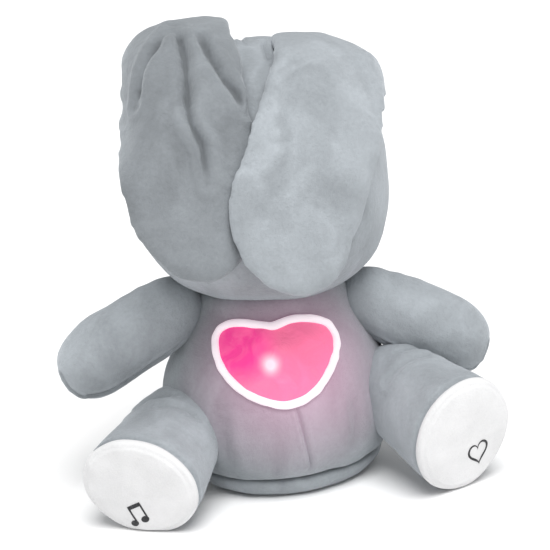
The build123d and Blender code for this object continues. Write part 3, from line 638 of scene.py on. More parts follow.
class BUNNY_OT_torso(Operator):
    """Make the torso cover and the base gusset"""
    bl_idname = "bunny.torso"
    bl_label = "Torso"

    def execute(self, context):
        torso = lofted("torso_plush", 72, 56, body_form(TORSO_SHAPE))
        outward(torso)
        band = level_ring(TORSO_R * 0.87, BASE_TOP_Z + 7)
        belly = [(4, -75, 60), (7, -78, 40), (9, -74, 16)]
        sides = [[(sign * 67, 8, 20), (sign * 71, 8, 45), (sign * 62, 8, 80)] for sign in (-1, 1)]
        stuff(torso, 3.0, [band, belly] + sides)
        refine(torso, 2)
        tree = surface_of(torso)
        crease(torso, on_front(tree, [(4, -80, HEART_C[2] - 24), (7, -80, 42), (9, -80, 24), (9, -80, 10)]),
               1.3, 2.0, 0.7)
        for sign, side in zip((-1, 1), sides):
            crease(torso, side, 1.3, 1.0, 0.3)
            for high, low, depth in ((58, 30, 0.7), (50, 20, 0.5)):
                fold = [(sign * (34 + high * 0.1), -80, high), (sign * 40, -80, (high + low) / 2),
                        (sign * 37, -80, low)]
                crease(torso, on_front(tree, fold), 4.2, depth, 0.4)
        swell(torso, (-68, -15, 62), (22, 40, 26), 5.0)
        rumple(torso, 30, context.scene.bunny_plush.rumple, 11)
        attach(torso, "body")
        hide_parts("torso_skin", "torso_stuffing")

        gusset = lofted("base_gusset", 96, 40, body_form(GUSSET_SHAPE))
        outward(gusset)
        use_modifier(gusset, "SUBSURF", levels=1, render_levels=1)
        rumple(gusset, 14, 0.25, 13)
        keep_above(gusset, 0.0)
        smooth_shaded(gusset)
        mark_hollows(gusset)
        # The base gusset's grey is darkened a little as painted shade.
        paint(gusset, plush_material("grey_plush_base", shade=0.90))
        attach(gusset, "body")
        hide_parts("base_panel")
        return {"FINISHED"}


# ------------------------------------------------------------------ head
CHEEK_POWER = (2.35, 0.60)       # fullness of the lower head all round, and more of it on one side


def head_form(along, round_angle):
    """Nearly round head, a little wider than it is deep."""
    polar = along * math.pi
    out = np.column_stack([np.sin(polar) * np.cos(round_angle), np.sin(polar) * np.sin(round_angle),
                           np.cos(polar)])
    power = CHEEK_POWER[0] + CHEEK_POWER[1] * np.clip(np.cos(round_angle), 0, 1)
    level = np.hypot(out[:, 0], out[:, 1])
    full = np.clip(1 - np.abs(out[:, 2]) ** power, 0, 1) ** (1 / power)
    grown = np.where(out[:, 2] < 0, full / np.maximum(level, 1e-6), 1.0)
    grown = np.where(level < 0.02, 1.0, np.minimum(grown, 1.9))
    return HEAD_C + out * HEAD_R * np.column_stack([grown, grown, np.ones(len(grown))])


class BUNNY_OT_head(Operator):
    """Make the head cover with its seams"""
    bl_idname = "bunny.head"
    bl_label = "Head"

    def execute(self, context):
        head = lofted("head_plush", 72, 48, head_form)
        outward(head)
        middle = [HEAD_C + (0, math.cos(a) * HEAD_R, math.sin(a) * HEAD_R)
                  for a in np.radians(np.linspace(-20, 200, 24)) if math.cos(a) > -0.25]
        sides = [[HEAD_C + (sign * HEAD_R * math.cos(a), 14, HEAD_R * math.sin(a))
                  for a in np.radians(np.linspace(-60, 85, 16))] for sign in (-1, 1)]
        stuff(head, 1.2, [middle] + sides, voxel=5.0)
        refine(head, 2)
        crease(head, middle, 1.3, 1.2, 0.35)
        for side in sides:
            crease(head, side, 1.3, 1.0, 0.3)
        crease(head, [(11, -8, 266), (11.5, -18, 264), (12, -32, 259)], 1.6, 2.4, 0.8)
        crease(head, [(17, -10, 264), (16, -24, 260)], 1.6, 1.2, 0.4)
        rumple(head, 34, context.scene.bunny_plush.rumple, 12)
        mark_hollows(head)
        paint(head, plush_material("grey_plush_head"))
        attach(head, "body")
        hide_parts("head_skin", "head_stuffing")
        return {"FINISHED"}


# ------------------------------------------------------------------ arms
ARM_SHAPE = [(0, -21), (13, -17), (20.5, -5), (22.5, 14), (23.4, 34), (23.2, 52), (20.5, 65), (13.0, 74),
             (0, 78)]                         # radius, distance from the shoulder
SEAM_TURN = math.radians(42)                  # the arm's seam runs low along its front
ARM_SETTLE = {"left": 4.5, "right": -5.0}     # stuffing sets one arm a little higher than the other
ARM_FALL = {"left": 24.0, "right": 28.0}      # degrees below level


def turned(shape, origin, direction, droop=0.0, widen=(1.0, 1.0)):
    """Place function of a round limb from its (radius, distance) outline."""
    line = flowing([(radius, 0, distance) for radius, distance in shape], 120)
    steps = np.concatenate([[0], np.cumsum(np.linalg.norm(np.diff(line, axis=0), axis=1))])
    direction = np.asarray(direction) / np.linalg.norm(direction)
    side = np.cross((0, 0, 1), direction)
    side /= np.linalg.norm(side)
    up = np.cross(direction, side)

    def place(along, round_angle):
        where = along * steps[-1]
        radius, distance = np.interp(where, steps, line[:, 0]), np.interp(where, steps, line[:, 2])
        places = (np.asarray(origin) + np.outer(distance, direction)
                  + np.outer(radius * widen[0] * np.cos(round_angle), side)
                  + np.outer(radius * widen[1] * np.sin(round_angle), up))
        places[:, 2] -= droop * np.clip(distance / 70, 0, 1.2) ** 2
        return places
    return place, direction, side, up


class BUNNY_OT_arms(Operator):
    """Make both arms"""
    bl_idname = "bunny.arms"
    bl_label = "Arms"

    def execute(self, context):
        material = plush_material("grey_plush_arms")
        for side, sign in SIDES.items():
            root = SHOULDER * (sign, 1, 1) + (0, 0, ARM_SETTLE[side])
            fall = math.radians(ARM_FALL[side])
            way = (sign * math.cos(fall), -0.09, -math.sin(fall))
            place, way, across, up = turned(ARM_SHAPE, root, way, droop=3.0)
            arm = lofted(f"arm_{side}_plush", 40, 40, place)
            outward(arm)
            toward = np.cross(way, up)
            toward *= -np.sign(toward[1])
            low_front = -up * math.cos(SEAM_TURN) + toward * math.sin(SEAM_TURN)
            seam = [root + way * s + low_front * r
                    for s, r in ((5, 22), (30, 24), (55, 23), (68, 16), (74, 12))]
            notch = [root + way * s + low_front * r + up * u
                     for s, r, u in ((70, 14, 0), (73, 13, 6), (73, 12, 12))]
            back = [root + way * s + up * r for s, r in ((0, 21), (30, 23.5), (60, 22))]
            stuff(arm, 2.0, [seam, back], voxel=3.2)
            refine(arm, 2)
            tree = surface_of(arm)
            crease(arm, nearest(tree, seam), 1.3, 1.9, 0.6)
            crease(arm, nearest(tree, notch), 1.6, 2.0, 0.6)
            for s, depth in ((7, 0.8), (17, 0.5)):
                fold = [root + way * (s + 3 * t) + up * (22 * math.cos(t * 1.4 + 0.5))
                        - across * sign * 22 * math.sin(t * 1.4 + 0.5) for t in (-0.8, 0.0, 0.8)]
                crease(arm, nearest(tree, fold), 4.0, depth, 0.2)
            rumple(arm, 22, context.scene.bunny_plush.rumple * 0.8, 21 + int(sign))
            mark_hollows(arm)
            paint(arm, material)
            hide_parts(f"arm_{side}_skin", f"arm_{side}_stuffing")
            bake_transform(arm)
        return {"FINISHED"}


# ------------------------------------------------------------------ legs and soles
LEG_SHAPE = [(0, -25), (15, -22), (26, -10), (30, 6), (32, 26), (34.2, 44), (35.8, 56), (35.6, 61.5),
             (33.5, 63.6), (20, 63.9), (0, 63.9)]
SOLE_SHAPE = [(0, 63.5), (25, 63.5), (34.2, 63.4), (36.2, 64.6), (35.6, 67.0), (32.5, 69.0), (24, 70.6),
              (12, 71.6), (0, 72.0)]
LEG_WIDEN = {"left": (1.0, 0.88), "right": (0.91, 1.0)}         # slack covers flatten across or upwards
LEG_SETTLE = {"left": (3.5, 0, -4.0), "right": (3.0, 0, 2.4)}   # how the full covers settle about the frame
LEG_FOLDS = (                                 # distance from the hip, turn in radians, depth
    (8, 1.9, 1.6), (16, 2.6, 1.2), (20, 1.2, 0.9), (12, 3.6, 1.5), (24, 3.2, 0.9))


class BUNNY_OT_legs(Operator):
    """Make both legs with their white soles and printed icons"""
    bl_idname = "bunny.legs"
    bl_label = "Legs and soles"

    def execute(self, context):
        # The legs' grey is darkened a little as painted shade.
        plush = plush_material("grey_plush_legs", shade=0.95)
        white = velour_material("white_velour", tuple(context.scene.bunny_plush.white))
        ink = print_material()
        for side, sign in SIDES.items():
            hip = HIP * (sign, 1, 1) + LEG_SETTLE[side]
            place, way, across, up = turned(LEG_SHAPE, hip, LEG_DIR * (sign, 1, 1), widen=LEG_WIDEN[side])
            wide, tall = LEG_WIDEN[side]
            leg = lofted(f"leg_{side}_plush", 56, 44, place)
            outward(leg)
            rim = [hip + way * 62.5 + 35.6 * (across * wide * math.cos(t) + up * tall * math.sin(t))
                   for t in np.linspace(0, 2 * math.pi, 33)]
            top = [hip + way * s + up * r for s, r in ((-4, 30), (25, 33), (50, 36))]
            stuff(leg, 2.0, [rim, top], voxel=3.6)
            refine(leg, 2)
            crease(leg, rim, 1.4, 1.4, 0.4, taper=False)
            tree = surface_of(leg)
            for s, turn, depth in LEG_FOLDS:
                fold = []
                for step in (-0.45, 0.0, 0.45):
                    angle = turn + step
                    fold.append(hip + way * (s + 8 * step * step + 4 * step)
                                + 31 * (-across * sign * math.cos(angle) + up * math.sin(angle)))
                crease(leg, nearest(tree, fold), 2.8, depth, 0.5)
            rumple(leg, 24, context.scene.bunny_plush.rumple * 0.8, 31 + int(sign))
            keep_above(leg, FLOOR_GAP)
            mark_hollows(leg)
            paint(leg, plush)
            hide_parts(f"leg_{side}_skin", f"leg_{side}_stuffing")
            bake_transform(leg)

            place, way, across, up = turned(SOLE_SHAPE, hip, LEG_DIR * (sign, 1, 1), widen=LEG_WIDEN[side])
            sole = lofted(f"sole_{side}", 72, 40, place)
            outward(sole)
            keep_above(sole, FLOOR_GAP)
            use_modifier(sole, "SUBSURF", levels=1, render_levels=1)
            rumple(sole, 26, 0.25, 41 + int(sign))
            stitches = [hip + way * 68.4 + 33.2 * (across * wide * math.cos(t) + up * tall * math.sin(t))
                        for t in np.linspace(0, 2 * math.pi, 49)]
            crease(sole, stitches, 0.9, 0.5, 0.15, taper=False)
            bpy.ops.object.shade_smooth()
            paint(sole, white)
            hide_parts(f"foot_{side}_sole")
            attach(sole, f"{side}_leg")
            icon = ICONS[side]()
            lay_icon(icon, f"sole_icon_{side}", surface_of(sole), hip + way * 70, across, up, way,
                     ICON_SHIFT[side], ICON_LEAN[side])
            paint(icon, ink)
            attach(icon, f"{side}_leg")
        return {"FINISHED"}


def flat_disc(radius_x, radius_y, centre, turn):
    """A filled ellipse, turned about its centre."""
    obj = primitive("circle", vertices=28, radius=1.0, fill_type="TRIFAN")
    data = stored_coords(obj)
    spun = np.stack([data[:, 0] * radius_x, data[:, 1] * radius_y, data[:, 2] * 0], axis=1)
    c, s = math.cos(turn), math.sin(turn)
    place_coords(obj, np.stack([spun[:, 0] * c - spun[:, 1] * s + centre[0],
                                spun[:, 0] * s + spun[:, 1] * c + centre[1], spun[:, 2]], axis=1))
    return obj


def flat_bar(corners):
    """A four-cornered strip, divided so that it can follow a crowned surface."""
    obj = primitive("grid", x_subdivisions=4, y_subdivisions=12, size=2)
    data = stored_coords(obj)
    u, v = (data[:, 0] + 1) / 2, (data[:, 1] + 1) / 2
    a, b, c, d = np.array(corners, float)
    flat = (np.outer((1 - u) * (1 - v), a) + np.outer(u * (1 - v), b)
            + np.outer(u * v, c) + np.outer((1 - u) * v, d))
    place_coords(obj, np.column_stack([flat, np.zeros(len(flat))]))
    return obj


def note_icon():
    """Two beamed quavers."""
    return merged("note", [
        flat_disc(2.9, 2.1, (-4.2, -5.6), 0.35), flat_disc(2.9, 2.1, (4.4, -4.2), 0.35),
        flat_bar([(-2.6, -5.4), (-1.5, -5.4), (-1.5, 6.0), (-2.6, 6.0)]),
        flat_bar([(6.0, -4.0), (7.1, -4.0), (7.1, 7.4), (6.0, 7.4)]),
        flat_bar([(-2.6, 4.0), (7.1, 5.4), (7.1, 7.8), (-2.6, 6.4)])])


def heart_curve(turn):
    """Unit heart outline, 2 wide, at an angle from straight up."""
    x = np.sin(turn) ** 3
    z = (13 * np.cos(turn) - 5 * np.cos(2 * turn) - 2 * np.cos(3 * turn) - np.cos(4 * turn)) / 16
    return x, z + 0.12


def heart_icon():
    """A drawn heart outline."""
    thin = 0.1
    obj = primitive("torus", major_segments=72, minor_segments=8, major_radius=1.0, minor_radius=thin)
    data = stored_coords(obj)
    turn = np.arctan2(data[:, 0], data[:, 1])
    across = (np.hypot(data[:, 0], data[:, 1]) - 1.0) / thin
    x, z = heart_curve(turn)
    reach = np.hypot(x, z - 0.1) + 1e-6
    places = np.stack([6.8 * x + 0.75 * across * x / reach, 8.2 * z + 0.75 * across * (z - 0.1) / reach,
                       data[:, 2] * 2.0], axis=1)
    place_coords(obj, places)
    return obj


ICONS = {"left": note_icon, "right": heart_icon}
ICON_SHIFT = {"left": (-4.0, -16.0), "right": (8.0, -12.5)}      # across and up from the sole's middle
ICON_LEAN = {"left": 18.0, "right": 12.0}                        # degrees


def lay_icon(icon, name, tree, centre, right, high, out, shift, lean_deg):
    """Lay a flat icon on the sole, just proud of the nap."""
    icon.name = icon.data.name = name
    flat = coords(icon)
    lean = math.radians(lean_deg)
    c, s = math.cos(lean), math.sin(lean)
    u = flat[:, 0] * c - flat[:, 1] * s + shift[0]
    v = flat[:, 0] * s + flat[:, 1] * c + shift[1]
    places = centre + np.outer(u, right) + np.outer(v, high)
    on_top = []
    for place, height in zip(places, flat[:, 2]):
        hit = tree.ray_cast(Vector(place + out * 30) * MM, Vector(-out))[0]
        on_top.append(np.array(hit) / MM + out * (0.12 + height))
    place_coords(icon, on_top)
    if abs(flat[:, 2]).max() < 1e-6:
        use_modifier(icon, "SOLIDIFY", thickness=0.25 * MM, offset=0.0)
    outward(icon)


# ------------------------------------------------------------------ ears
EAR_SWEEP = np.radians((-8.0, 90.0))     # from just behind the head's top to its front
EAR_HALF_THICK = 6.2
EAR_SEAM_X = 58.0                        # outer end of the seam that holds the ear to the head
EAR_GAPS = {                             # degrees from the top, gap from head to the ear's middle layer
    "right": [(-8, -5), (0, -4), (10, -1), (20, 4), (32, 8.5), (48, 11.5), (90, 11.5)],
    "left": [(-8, 2), (0, 9), (8, 14), (22, 17.5), (40, 14.5), (60, 12), (90, 11.5)],
}
EAR_PAINTED_SHADING = {"left": 0.68, "right": 1.02}                # painted shading: the left ear is darkened as painted shade, the right one lightened a touch as painted light
EAR_DROP = {"right": (23.0, 2.8), "left": (27.0, 6.0)}   # fall towards the outer edge, and its power
EAR_EDGES = {                            # height, inner edge, outer edge
    "right": [(131, 13, 17), (134, 4, 24), (141, -7, 34), (157, -21, 43), (178, -27, 51), (195, -25, 58),
              (209, -19, 64), (220, -13, 68), (233, -6, 72), (247, 2, 76), (262, 11, 77), (276, 16, 76)],
    "left": [(146, -38, -42), (149, -28, -50), (154, -20, -58), (162, -14, -66), (175, -9, -75),
             (188, -7, -79), (206, -5, -82), (223, -3, -82), (246, -3, -80), (262, -5, -77),
             (276, -6, -73)],
}


def ear_line(side):
    """The ear's middle layer from root to tip: heights, depths and normals along its length."""
    turns = np.linspace(*EAR_SWEEP, 60)
    degrees, gaps = np.array(EAR_GAPS[side]).T
    reach = HEAD_R + np.interp(np.degrees(turns), degrees, gaps)
    y = HEAD_C[1] - reach * np.sin(turns)
    z = HEAD_C[2] + reach * np.cos(turns)
    tip = EAR_EDGES[side][0][0]
    falls = np.linspace(z[-1], tip, 30)[1:]
    y = np.concatenate([y, np.full(len(falls), y[-1])])
    z = np.concatenate([z, falls])
    return flowing(np.column_stack([np.zeros(len(y)), y, z])[::4], 220)


def ear_form(side):
    """Place function of a flap that is sewn to the head's top and follows the ear's line to its tip."""
    line = ear_line(side)
    length = np.concatenate([[0], np.cumsum(np.linalg.norm(np.diff(line, axis=0), axis=1))])
    run = np.gradient(line, axis=0)
    run /= np.linalg.norm(run, axis=1)[:, None]
    out = np.column_stack([run[:, 0], run[:, 2], -run[:, 1]])
    heights, inner, outer = np.array(EAR_EDGES[side], float).T
    crown = np.argmax(line[:, 2])
    shown_z = line[:, 2].copy()
    shown_z[:crown] = line[crown, 2]

    def place(along, round_angle):
        where = along * length[-1]
        middle = np.column_stack([np.interp(where, length, line[:, axis]) for axis in range(3)])
        normal = np.column_stack([np.interp(where, length, out[:, axis]) for axis in range(3)])
        height = np.interp(where, length, shown_z)
        hold = smooth_step(where / 30.0)
        low_x, high_x = np.interp(height, heights, inner), np.interp(height, heights, outer)
        high_x = high_x * hold + SIDES[side] * EAR_SEAM_X * (1 - hold)
        closing = np.sqrt(np.clip(np.sin(np.pi * along) / 0.10, 0, 1))
        across = np.sign(np.cos(round_angle)) * np.abs(np.cos(round_angle)) ** 0.8
        x = (low_x + high_x) / 2 + (high_x - low_x) / 2 * across * closing
        thick = EAR_HALF_THICK * np.sign(np.sin(round_angle)) * np.abs(np.sin(round_angle)) ** 0.75 * closing
        in_front = smooth_step((250 - middle[:, 2]) / 16) * smooth_step((70 + middle[:, 1]) / -10)
        if side == "right":
            shift = 5.0 * smooth_step((2 - x) / 12) * in_front
        else:
            shift = -3.5 * smooth_step((x + 32) / 12) * in_front
        fall, power = EAR_DROP[side]
        near_top = smooth_step((middle[:, 2] - 205) / 50)
        drop = fall * (np.abs(x) / 78) ** power * near_top
        places = middle + normal * (thick * (1 - 0.06 * np.abs(shift)) + shift - drop)[:, None]
        places[:, 0] = x
        section = np.sqrt(np.clip(HEAD_R ** 2 - x ** 2, 14.0 ** 2, None))
        root_turn = EAR_SWEEP[0]
        root = np.column_stack([x, HEAD_C[1] - section * math.sin(root_turn) + 0.3 * thick,
                                HEAD_C[2] + section * math.cos(root_turn) + 0.2 * thick])
        hold = hold[:, None]
        return root * (1 - hold) + places * hold
    return place


def blob(centre, radii, tilt=0.0):
    """A ball stretched along a direction in the YZ plane."""
    obj = primitive("uv_sphere", segments=28, ring_count=20, radius=1.0)
    data = stored_coords(obj) * np.array(radii)
    c, s = math.cos(tilt), math.sin(tilt)
    turned_y, turned_z = data[:, 1] * c - data[:, 2] * s, data[:, 1] * s + data[:, 2] * c
    place_coords(obj, np.column_stack([data[:, 0], turned_y, turned_z]) + np.array(centre))
    return obj


EAR_FOLDS = {                            # folds of the puffed left ear: paths seen from the front, and depth
    "left": [([(-46, -40, 284), (-62, -57, 265), (-74, -69, 252)], 3.0, 3.2),
             ([(-41, -34, 286), (-37, -49, 272), (-38, -69, 255), (-39, -81, 238), (-34, -88, 224),
               (-34, -93, 206)], 3.0, 4.6),
             ([(-27, -44, 277), (-20, -64, 260), (-12, -73, 250), (-5, -79, 240)], 2.8, 4.0)],
    "right": [([(22, -62, 262), (16, -76, 246), (8, -86, 226)], 6.0, 1.2),
              ([(60, -58, 262), (68, -72, 246), (66, -88, 222)], 6.0, 1.2)],
}


EAR_SWELLS = {                           # padding between the folds: place, reach and height
    "left": [((-54, -62, 262), (11, 16, 20), 3.0), ((-28, -62, 250), (8, 16, 18), 2.4),
             ((-60, -88, 214), (15, 14, 28), 2.2), ((-20, -88, 208), (11, 14, 24), 1.6),
             ((-12, -60, 268), (7, 14, 12), 2.2)],
    "right": [((38, -90, 190), (24, 14, 34), 1.2), ((-9, -95, 230), (4, 6, 3), -1.6),
              ((-12, -95, 212), (4, 6, 3), -1.6)],
}


class BUNNY_OT_ears(Operator):
    """Make both long ears, folded forward over the face"""
    bl_idname = "bunny.ears"
    bl_label = "Ears"

    def execute(self, context):
        materials = {side: plush_material(f"grey_plush_ear_{side}", shade=EAR_PAINTED_SHADING[side]) for side in SIDES}
        for side, sign in SIDES.items():
            flap = lofted("flap", 56, 96, ear_form(side))
            shoulder_end = (sign * 66, EAR_AXIS[1], EAR_AXIS[2] - 1)
            knuckle = blob(shoulder_end, (9, 13, 12))
            fold = blob((sign * 66, -28, 245), (8, 24, 11), tilt=-0.4)
            ear = merged(f"ear_{side}_plush", [flap, knuckle, fold])
            outward(ear)
            line = ear_line(side)
            heights, inner, outer = np.array(EAR_EDGES[side], float).T
            front = line[line[:, 1] < -60][::12]
            rims = [[(np.interp(p[2], heights, edge), p[1], p[2]) for p in front] for edge in (inner, outer)]
            stuff(ear, 2.2, rims, voxel=3.0, seam_width=4.0)
            relax(ear, 11)
            refine(ear, 1)
            tree = surface_of(ear)
            for path, width, depth in EAR_FOLDS[side]:
                crease(ear, nearest(tree, flowing(path, 24)), width, depth, depth * 0.35)
            for place, reach, height in EAR_SWELLS[side]:
                swell(ear, place, reach, height)
            rumple(ear, 28, context.scene.bunny_plush.rumple, 51 + int(sign))
            rumple(ear, 9, context.scene.bunny_plush.rumple * 0.3, 61 + int(sign))
            mark_hollows(ear, gain=0.9, turns=16)
            paint(ear, materials[side])
            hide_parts(f"ear_{side}", f"ear_paddle_{side}")
            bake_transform(ear)
        return {"FINISHED"}


# ------------------------------------------------------------------ heart
HEART_OUTLINE = [(-5, 106.5), (-13, 108), (-21, 109), (-29, 108), (-35.5, 103), (-38, 95), (-36.5, 85),
                 (-31, 76), (-22, 69), (-10, 64), (2, 62.5), (13, 65.5), (23, 72.5), (30, 81), (33.5, 91),
                 (30, 101), (20, 107), (9, 108.5), (1, 107.5)]
HEART_MIDDLE = (-3.5, 89.0)
RIM_HALF_WIDTH = 2.5
RIM_HALF_HEIGHT = 2.2


def heart_edge(inset, count=160):
    """Closed outline of the heart, in X and Z, drawn in by inset."""
    points = [(x, 0.0, z) for x, z in HEART_OUTLINE]
    closed = flowing(points[-2:] + points + points[:2], count)
    first = np.argmin(np.linalg.norm(closed[:count // 3] - points[0], axis=1))
    last = len(closed) - 1 - np.argmin(np.linalg.norm(closed[::-1][:count // 3] - points[0], axis=1))
    outline = closed[first:last]
    run = np.roll(outline, -1, axis=0) - np.roll(outline, 1, axis=0)
    run /= np.linalg.norm(run, axis=1)[:, None] + 1e-9
    inwards = np.column_stack([-run[:, 2], np.zeros(len(run)), run[:, 0]])
    middle = np.array([HEART_MIDDLE[0], 0.0, HEART_MIDDLE[1]])
    inwards *= np.sign(np.einsum("ij,ij->i", inwards, middle - outline))[:, None]
    return outline + inwards * inset


HEART_FOLDS = [                          # soft folds of the window: path, width and depth
    ([(-27, -66, 80), (-14, -72, 88), (-2, -74, 103)], 4.0, 0.9),
    ([(24, -68, 82), (12, -72, 92), (2, -74, 104)], 4.5, 0.9),
    ([(-20, -68, 106), (-14, -72, 96), (-16, -72, 84)], 3.5, 0.6),
    ([(2, -72, 64), (4, -75, 74), (0, -76, 84)], 3.5, 0.7),
]


class BUNNY_OT_heart(Operator):
    """Make the glowing heart window and its white rim"""
    bl_idname = "bunny.heart"
    bl_label = "Heart"

    def execute(self, context):
        torso = bpy.data.objects["torso_plush"]
        tree = surface_of(torso)

        def depth_at(x, z):
            hit = tree.ray_cast(Vector((x, -200, z)) * MM, Vector((0, 1, 0)))[0]
            return hit[1] / MM

        edge = heart_edge(inset=2.0)
        angles = np.arctan2(edge[:, 2] - HEART_MIDDLE[1], edge[:, 0] - HEART_MIDDLE[0])
        reach = np.hypot(edge[:, 2] - HEART_MIDDLE[1], edge[:, 0] - HEART_MIDDLE[0])
        order = np.argsort(angles)
        angles, reach = angles[order], reach[order]

        def window_form(along, round_angle):
            out = np.sin(along * math.pi)
            radius = np.interp(round_angle, angles, reach, period=2 * math.pi) * out
            x = HEART_MIDDLE[0] + radius * np.cos(round_angle)
            z = HEART_MIDDLE[1] + radius * np.sin(round_angle)
            surface = np.array([depth_at(a, b) for a, b in zip(x, z)])
            front = along < 0.5
            lift = np.where(front, -2.6 * np.sqrt(np.clip(1 - out ** 2.2, 0, 1)) - 0.4, 2.0)
            return np.column_stack([x, surface + lift, z])

        window = lofted("heart_window", 120, 64, window_form)
        outward(window)
        refine(window, 1)
        for path, width, dent in HEART_FOLDS:
            line = [(x, depth_at(x, z) - 2.5, z) for x, _, z in flowing(path, 20)]
            crease(window, line, width, dent, dent * 0.5)
        rumple(window, 16, 0.25, 71)
        paint(window, heart_material())
        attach(window, "body")
        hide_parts("heart_lens")

        outline = heart_edge(inset=0.4)
        centre_line = np.array([(x, depth_at(x, z) - 0.9, z) for x, _, z in outline])
        depths = centre_line[:, 1]
        centre_line[:, 1] = (np.roll(depths, 1) + depths + np.roll(depths, -1)) / 3
        count = len(centre_line)
        rim = primitive("torus", major_segments=count, minor_segments=20, major_radius=1.0, minor_radius=0.25)
        rim.name = rim.data.name = "heart_rim_plush"
        data = stored_coords(rim)
        turn = np.arctan2(data[:, 1], data[:, 0]) % (2 * math.pi)
        index = np.round(turn / (2 * math.pi) * count).astype(int) % count
        run = np.roll(centre_line, -1, axis=0) - np.roll(centre_line, 1, axis=0)
        run /= np.linalg.norm(run, axis=1)[:, None]
        sideways = np.cross(run, (0, 1, 0))
        sideways /= np.linalg.norm(sideways, axis=1)[:, None]
        away = np.cross(sideways, run)
        away *= -np.sign(away[:, 1])[:, None]
        u = (np.hypot(data[:, 0], data[:, 1]) - 1.0) / 0.25
        v = data[:, 2] / 0.25
        wide, tall = u * RIM_HALF_WIDTH, v * RIM_HALF_HEIGHT
        place_coords(rim, centre_line[index] + sideways[index] * wide[:, None] + away[index] * tall[:, None])
        outward(rim)
        refine(rim, 1)
        rumple(rim, 9, 0.2, 72)
        paint(rim, velour_material("heart_rim_velour", tuple(context.scene.bunny_plush.white), lit=0.40))
        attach(rim, "body")
        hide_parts("heart_rim")
        return {"FINISHED"}


# ------------------------------------------------------------------ back pocket and finishes
class BUNNY_OT_pocket(Operator):
    """Open the torso's back for the sound box"""
    bl_idname = "bunny.pocket"
    bl_label = "Back pocket"

    def execute(self, context):
        torso = bpy.data.objects["torso_plush"]
        low, high = SOUND_BOX[0] - 0.5, SOUND_BOX[1] + (0.5, 40, 0.5)
        pocket = primitive("cube", size=2)
        place_coords(pocket, stored_coords(pocket) * (high - low) / 2 + (high + low) / 2)
        use_modifier(torso, "BOOLEAN", object=pocket, operation="DIFFERENCE", solver="EXACT")
        bpy.data.objects.remove(pocket)
        smooth_shaded(torso)
        mark_hollows(torso)
        # The torso's grey is darkened as painted shade, with the painted light of the heart around it.
        paint(torso, plush_material("grey_plush_torso", glowing=True, shade=0.84))
        return {"FINISHED"}


PLAIN_FINISHES = {               # slot: colour, roughness and the rest
    "grey_plastic": ((0.20, 0.21, 0.22), 0.5, {"grain": 1500, "depth": 0.0001}),
    "white_plastic": ((0.78, 0.78, 0.76), 0.38, {"grain": 1200, "depth": 0.0001}),
    "gear_plastic": ((0.72, 0.70, 0.62), 0.35, {"grain": 700, "depth": 0.0001}),
    "black_gloss": ((0.008, 0.008, 0.009), 0.14, {"grain": 90, "depth": 0.00005, "coat": 0.6}),
    "steel": ((0.56, 0.56, 0.58), 0.28, {"metallic": 1.0, "grain": 2600, "depth": 0.0001}),
    "cell_jacket": ((0.05, 0.12, 0.07), 0.34, {"grain": 300, "spread": 0.25}),
    "circuit_board": ((0.02, 0.17, 0.08), 0.42, {"grain": 1800, "spread": 0.3}),
    "chip_black": ((0.02, 0.02, 0.022), 0.55, {"grain": 2400}),
    "led_clear": ((0.90, 0.55, 0.62), 0.12, {"grain": 200, "depth": 0.00005}),
    "cone_paper": ((0.04, 0.04, 0.045), 0.9, {"grain": 800, "depth": 0.0004, "spread": 0.25}),
    "wire_cover": ((0.45, 0.03, 0.03), 0.45, {"grain": 500, "spread": 0.15}),
    "thread": ((0.035, 0.03, 0.035), 0.8, {"grain": 1600, "depth": 0.0005, "spread": 0.3}),
}
SEWN_FINISHES = {                # slot: a cover's own material
    "white_velour": "white_velour", "heart_fabric": "heart_fabric", "grey_plush": "grey_plush_head"}


class BUNNY_OT_finishes(Operator):
    """Give every plastic, metal and sewn piece its finish"""
    bl_idname = "bunny.finishes"
    bl_label = "Finishes"

    def execute(self, context):
        finishes = {name: plain_material(name, colour, roughness, **rest)
                    for name, (colour, roughness, rest) in PLAIN_FINISHES.items()}
        for slot, material in SEWN_FINISHES.items():
            finishes[slot] = bpy.data.materials[material]
        finishes["polyester_fill"] = velour_material("polyester_fill", (0.80, 0.80, 0.78))
        slots = {part["node"]: part["material_slot"] for part in frame["record"]["subparts"]}
        for name, obj in frame["nodes"].items():
            finish = finishes[slots[name]]
            for material_slot in obj.material_slots:
                material_slot.material = finish
            if not obj.material_slots:
                obj.data.materials.append(finish)
        return {"FINISHED"}


# ------------------------------------------------------------------ floor, lights and camera
TOY_MIDDLE = (0.0, 0.0, 0.13)
KEY_PLACE = (0.10, -0.75, 1.5)
KEY_SPREAD = 40.0                # degrees across
FILL_PLACE = (0.95, -0.75, 0.5)
FILL_SIZE = 0.9
CAMERA_AZIMUTH = -4.0
CAMERA_ELEVATION = 16.0
CAMERA_ROLL = 6.0
CAMERA_LENS = 125.5              # on a 36 mm sensor
CAMERA_AIM = (0.0, -0.010, 0.130)
CAMERA_SLIDE = (0.0042, -0.0042)  # right and up, so that the toy sits in the frame with no lens shift


def camera_axes():
    """Right, up and backward axes of the camera."""
    azimuth, elevation, roll = map(math.radians, (CAMERA_AZIMUTH, CAMERA_ELEVATION, CAMERA_ROLL))
    back = Vector((math.sin(azimuth) * math.cos(elevation), -math.cos(azimuth) * math.cos(elevation),
                   math.sin(elevation)))
    right = Vector((math.cos(azimuth), math.sin(azimuth), 0))
    up = back.cross(right)
    return right * math.cos(roll) - up * math.sin(roll), up * math.cos(roll) + right * math.sin(roll), back


def lamp(kind, name, place):
    """A light aimed at the toy's middle."""
    bpy.ops.object.select_all(action="DESELECT")
    bpy.ops.object.light_add(type=kind, location=place)
    light = bpy.context.active_object
    light.name = name
    light.rotation_euler = (Vector(place) - Vector(TOY_MIDDLE)).to_track_quat("Z", "Y").to_euler()
    return light.data


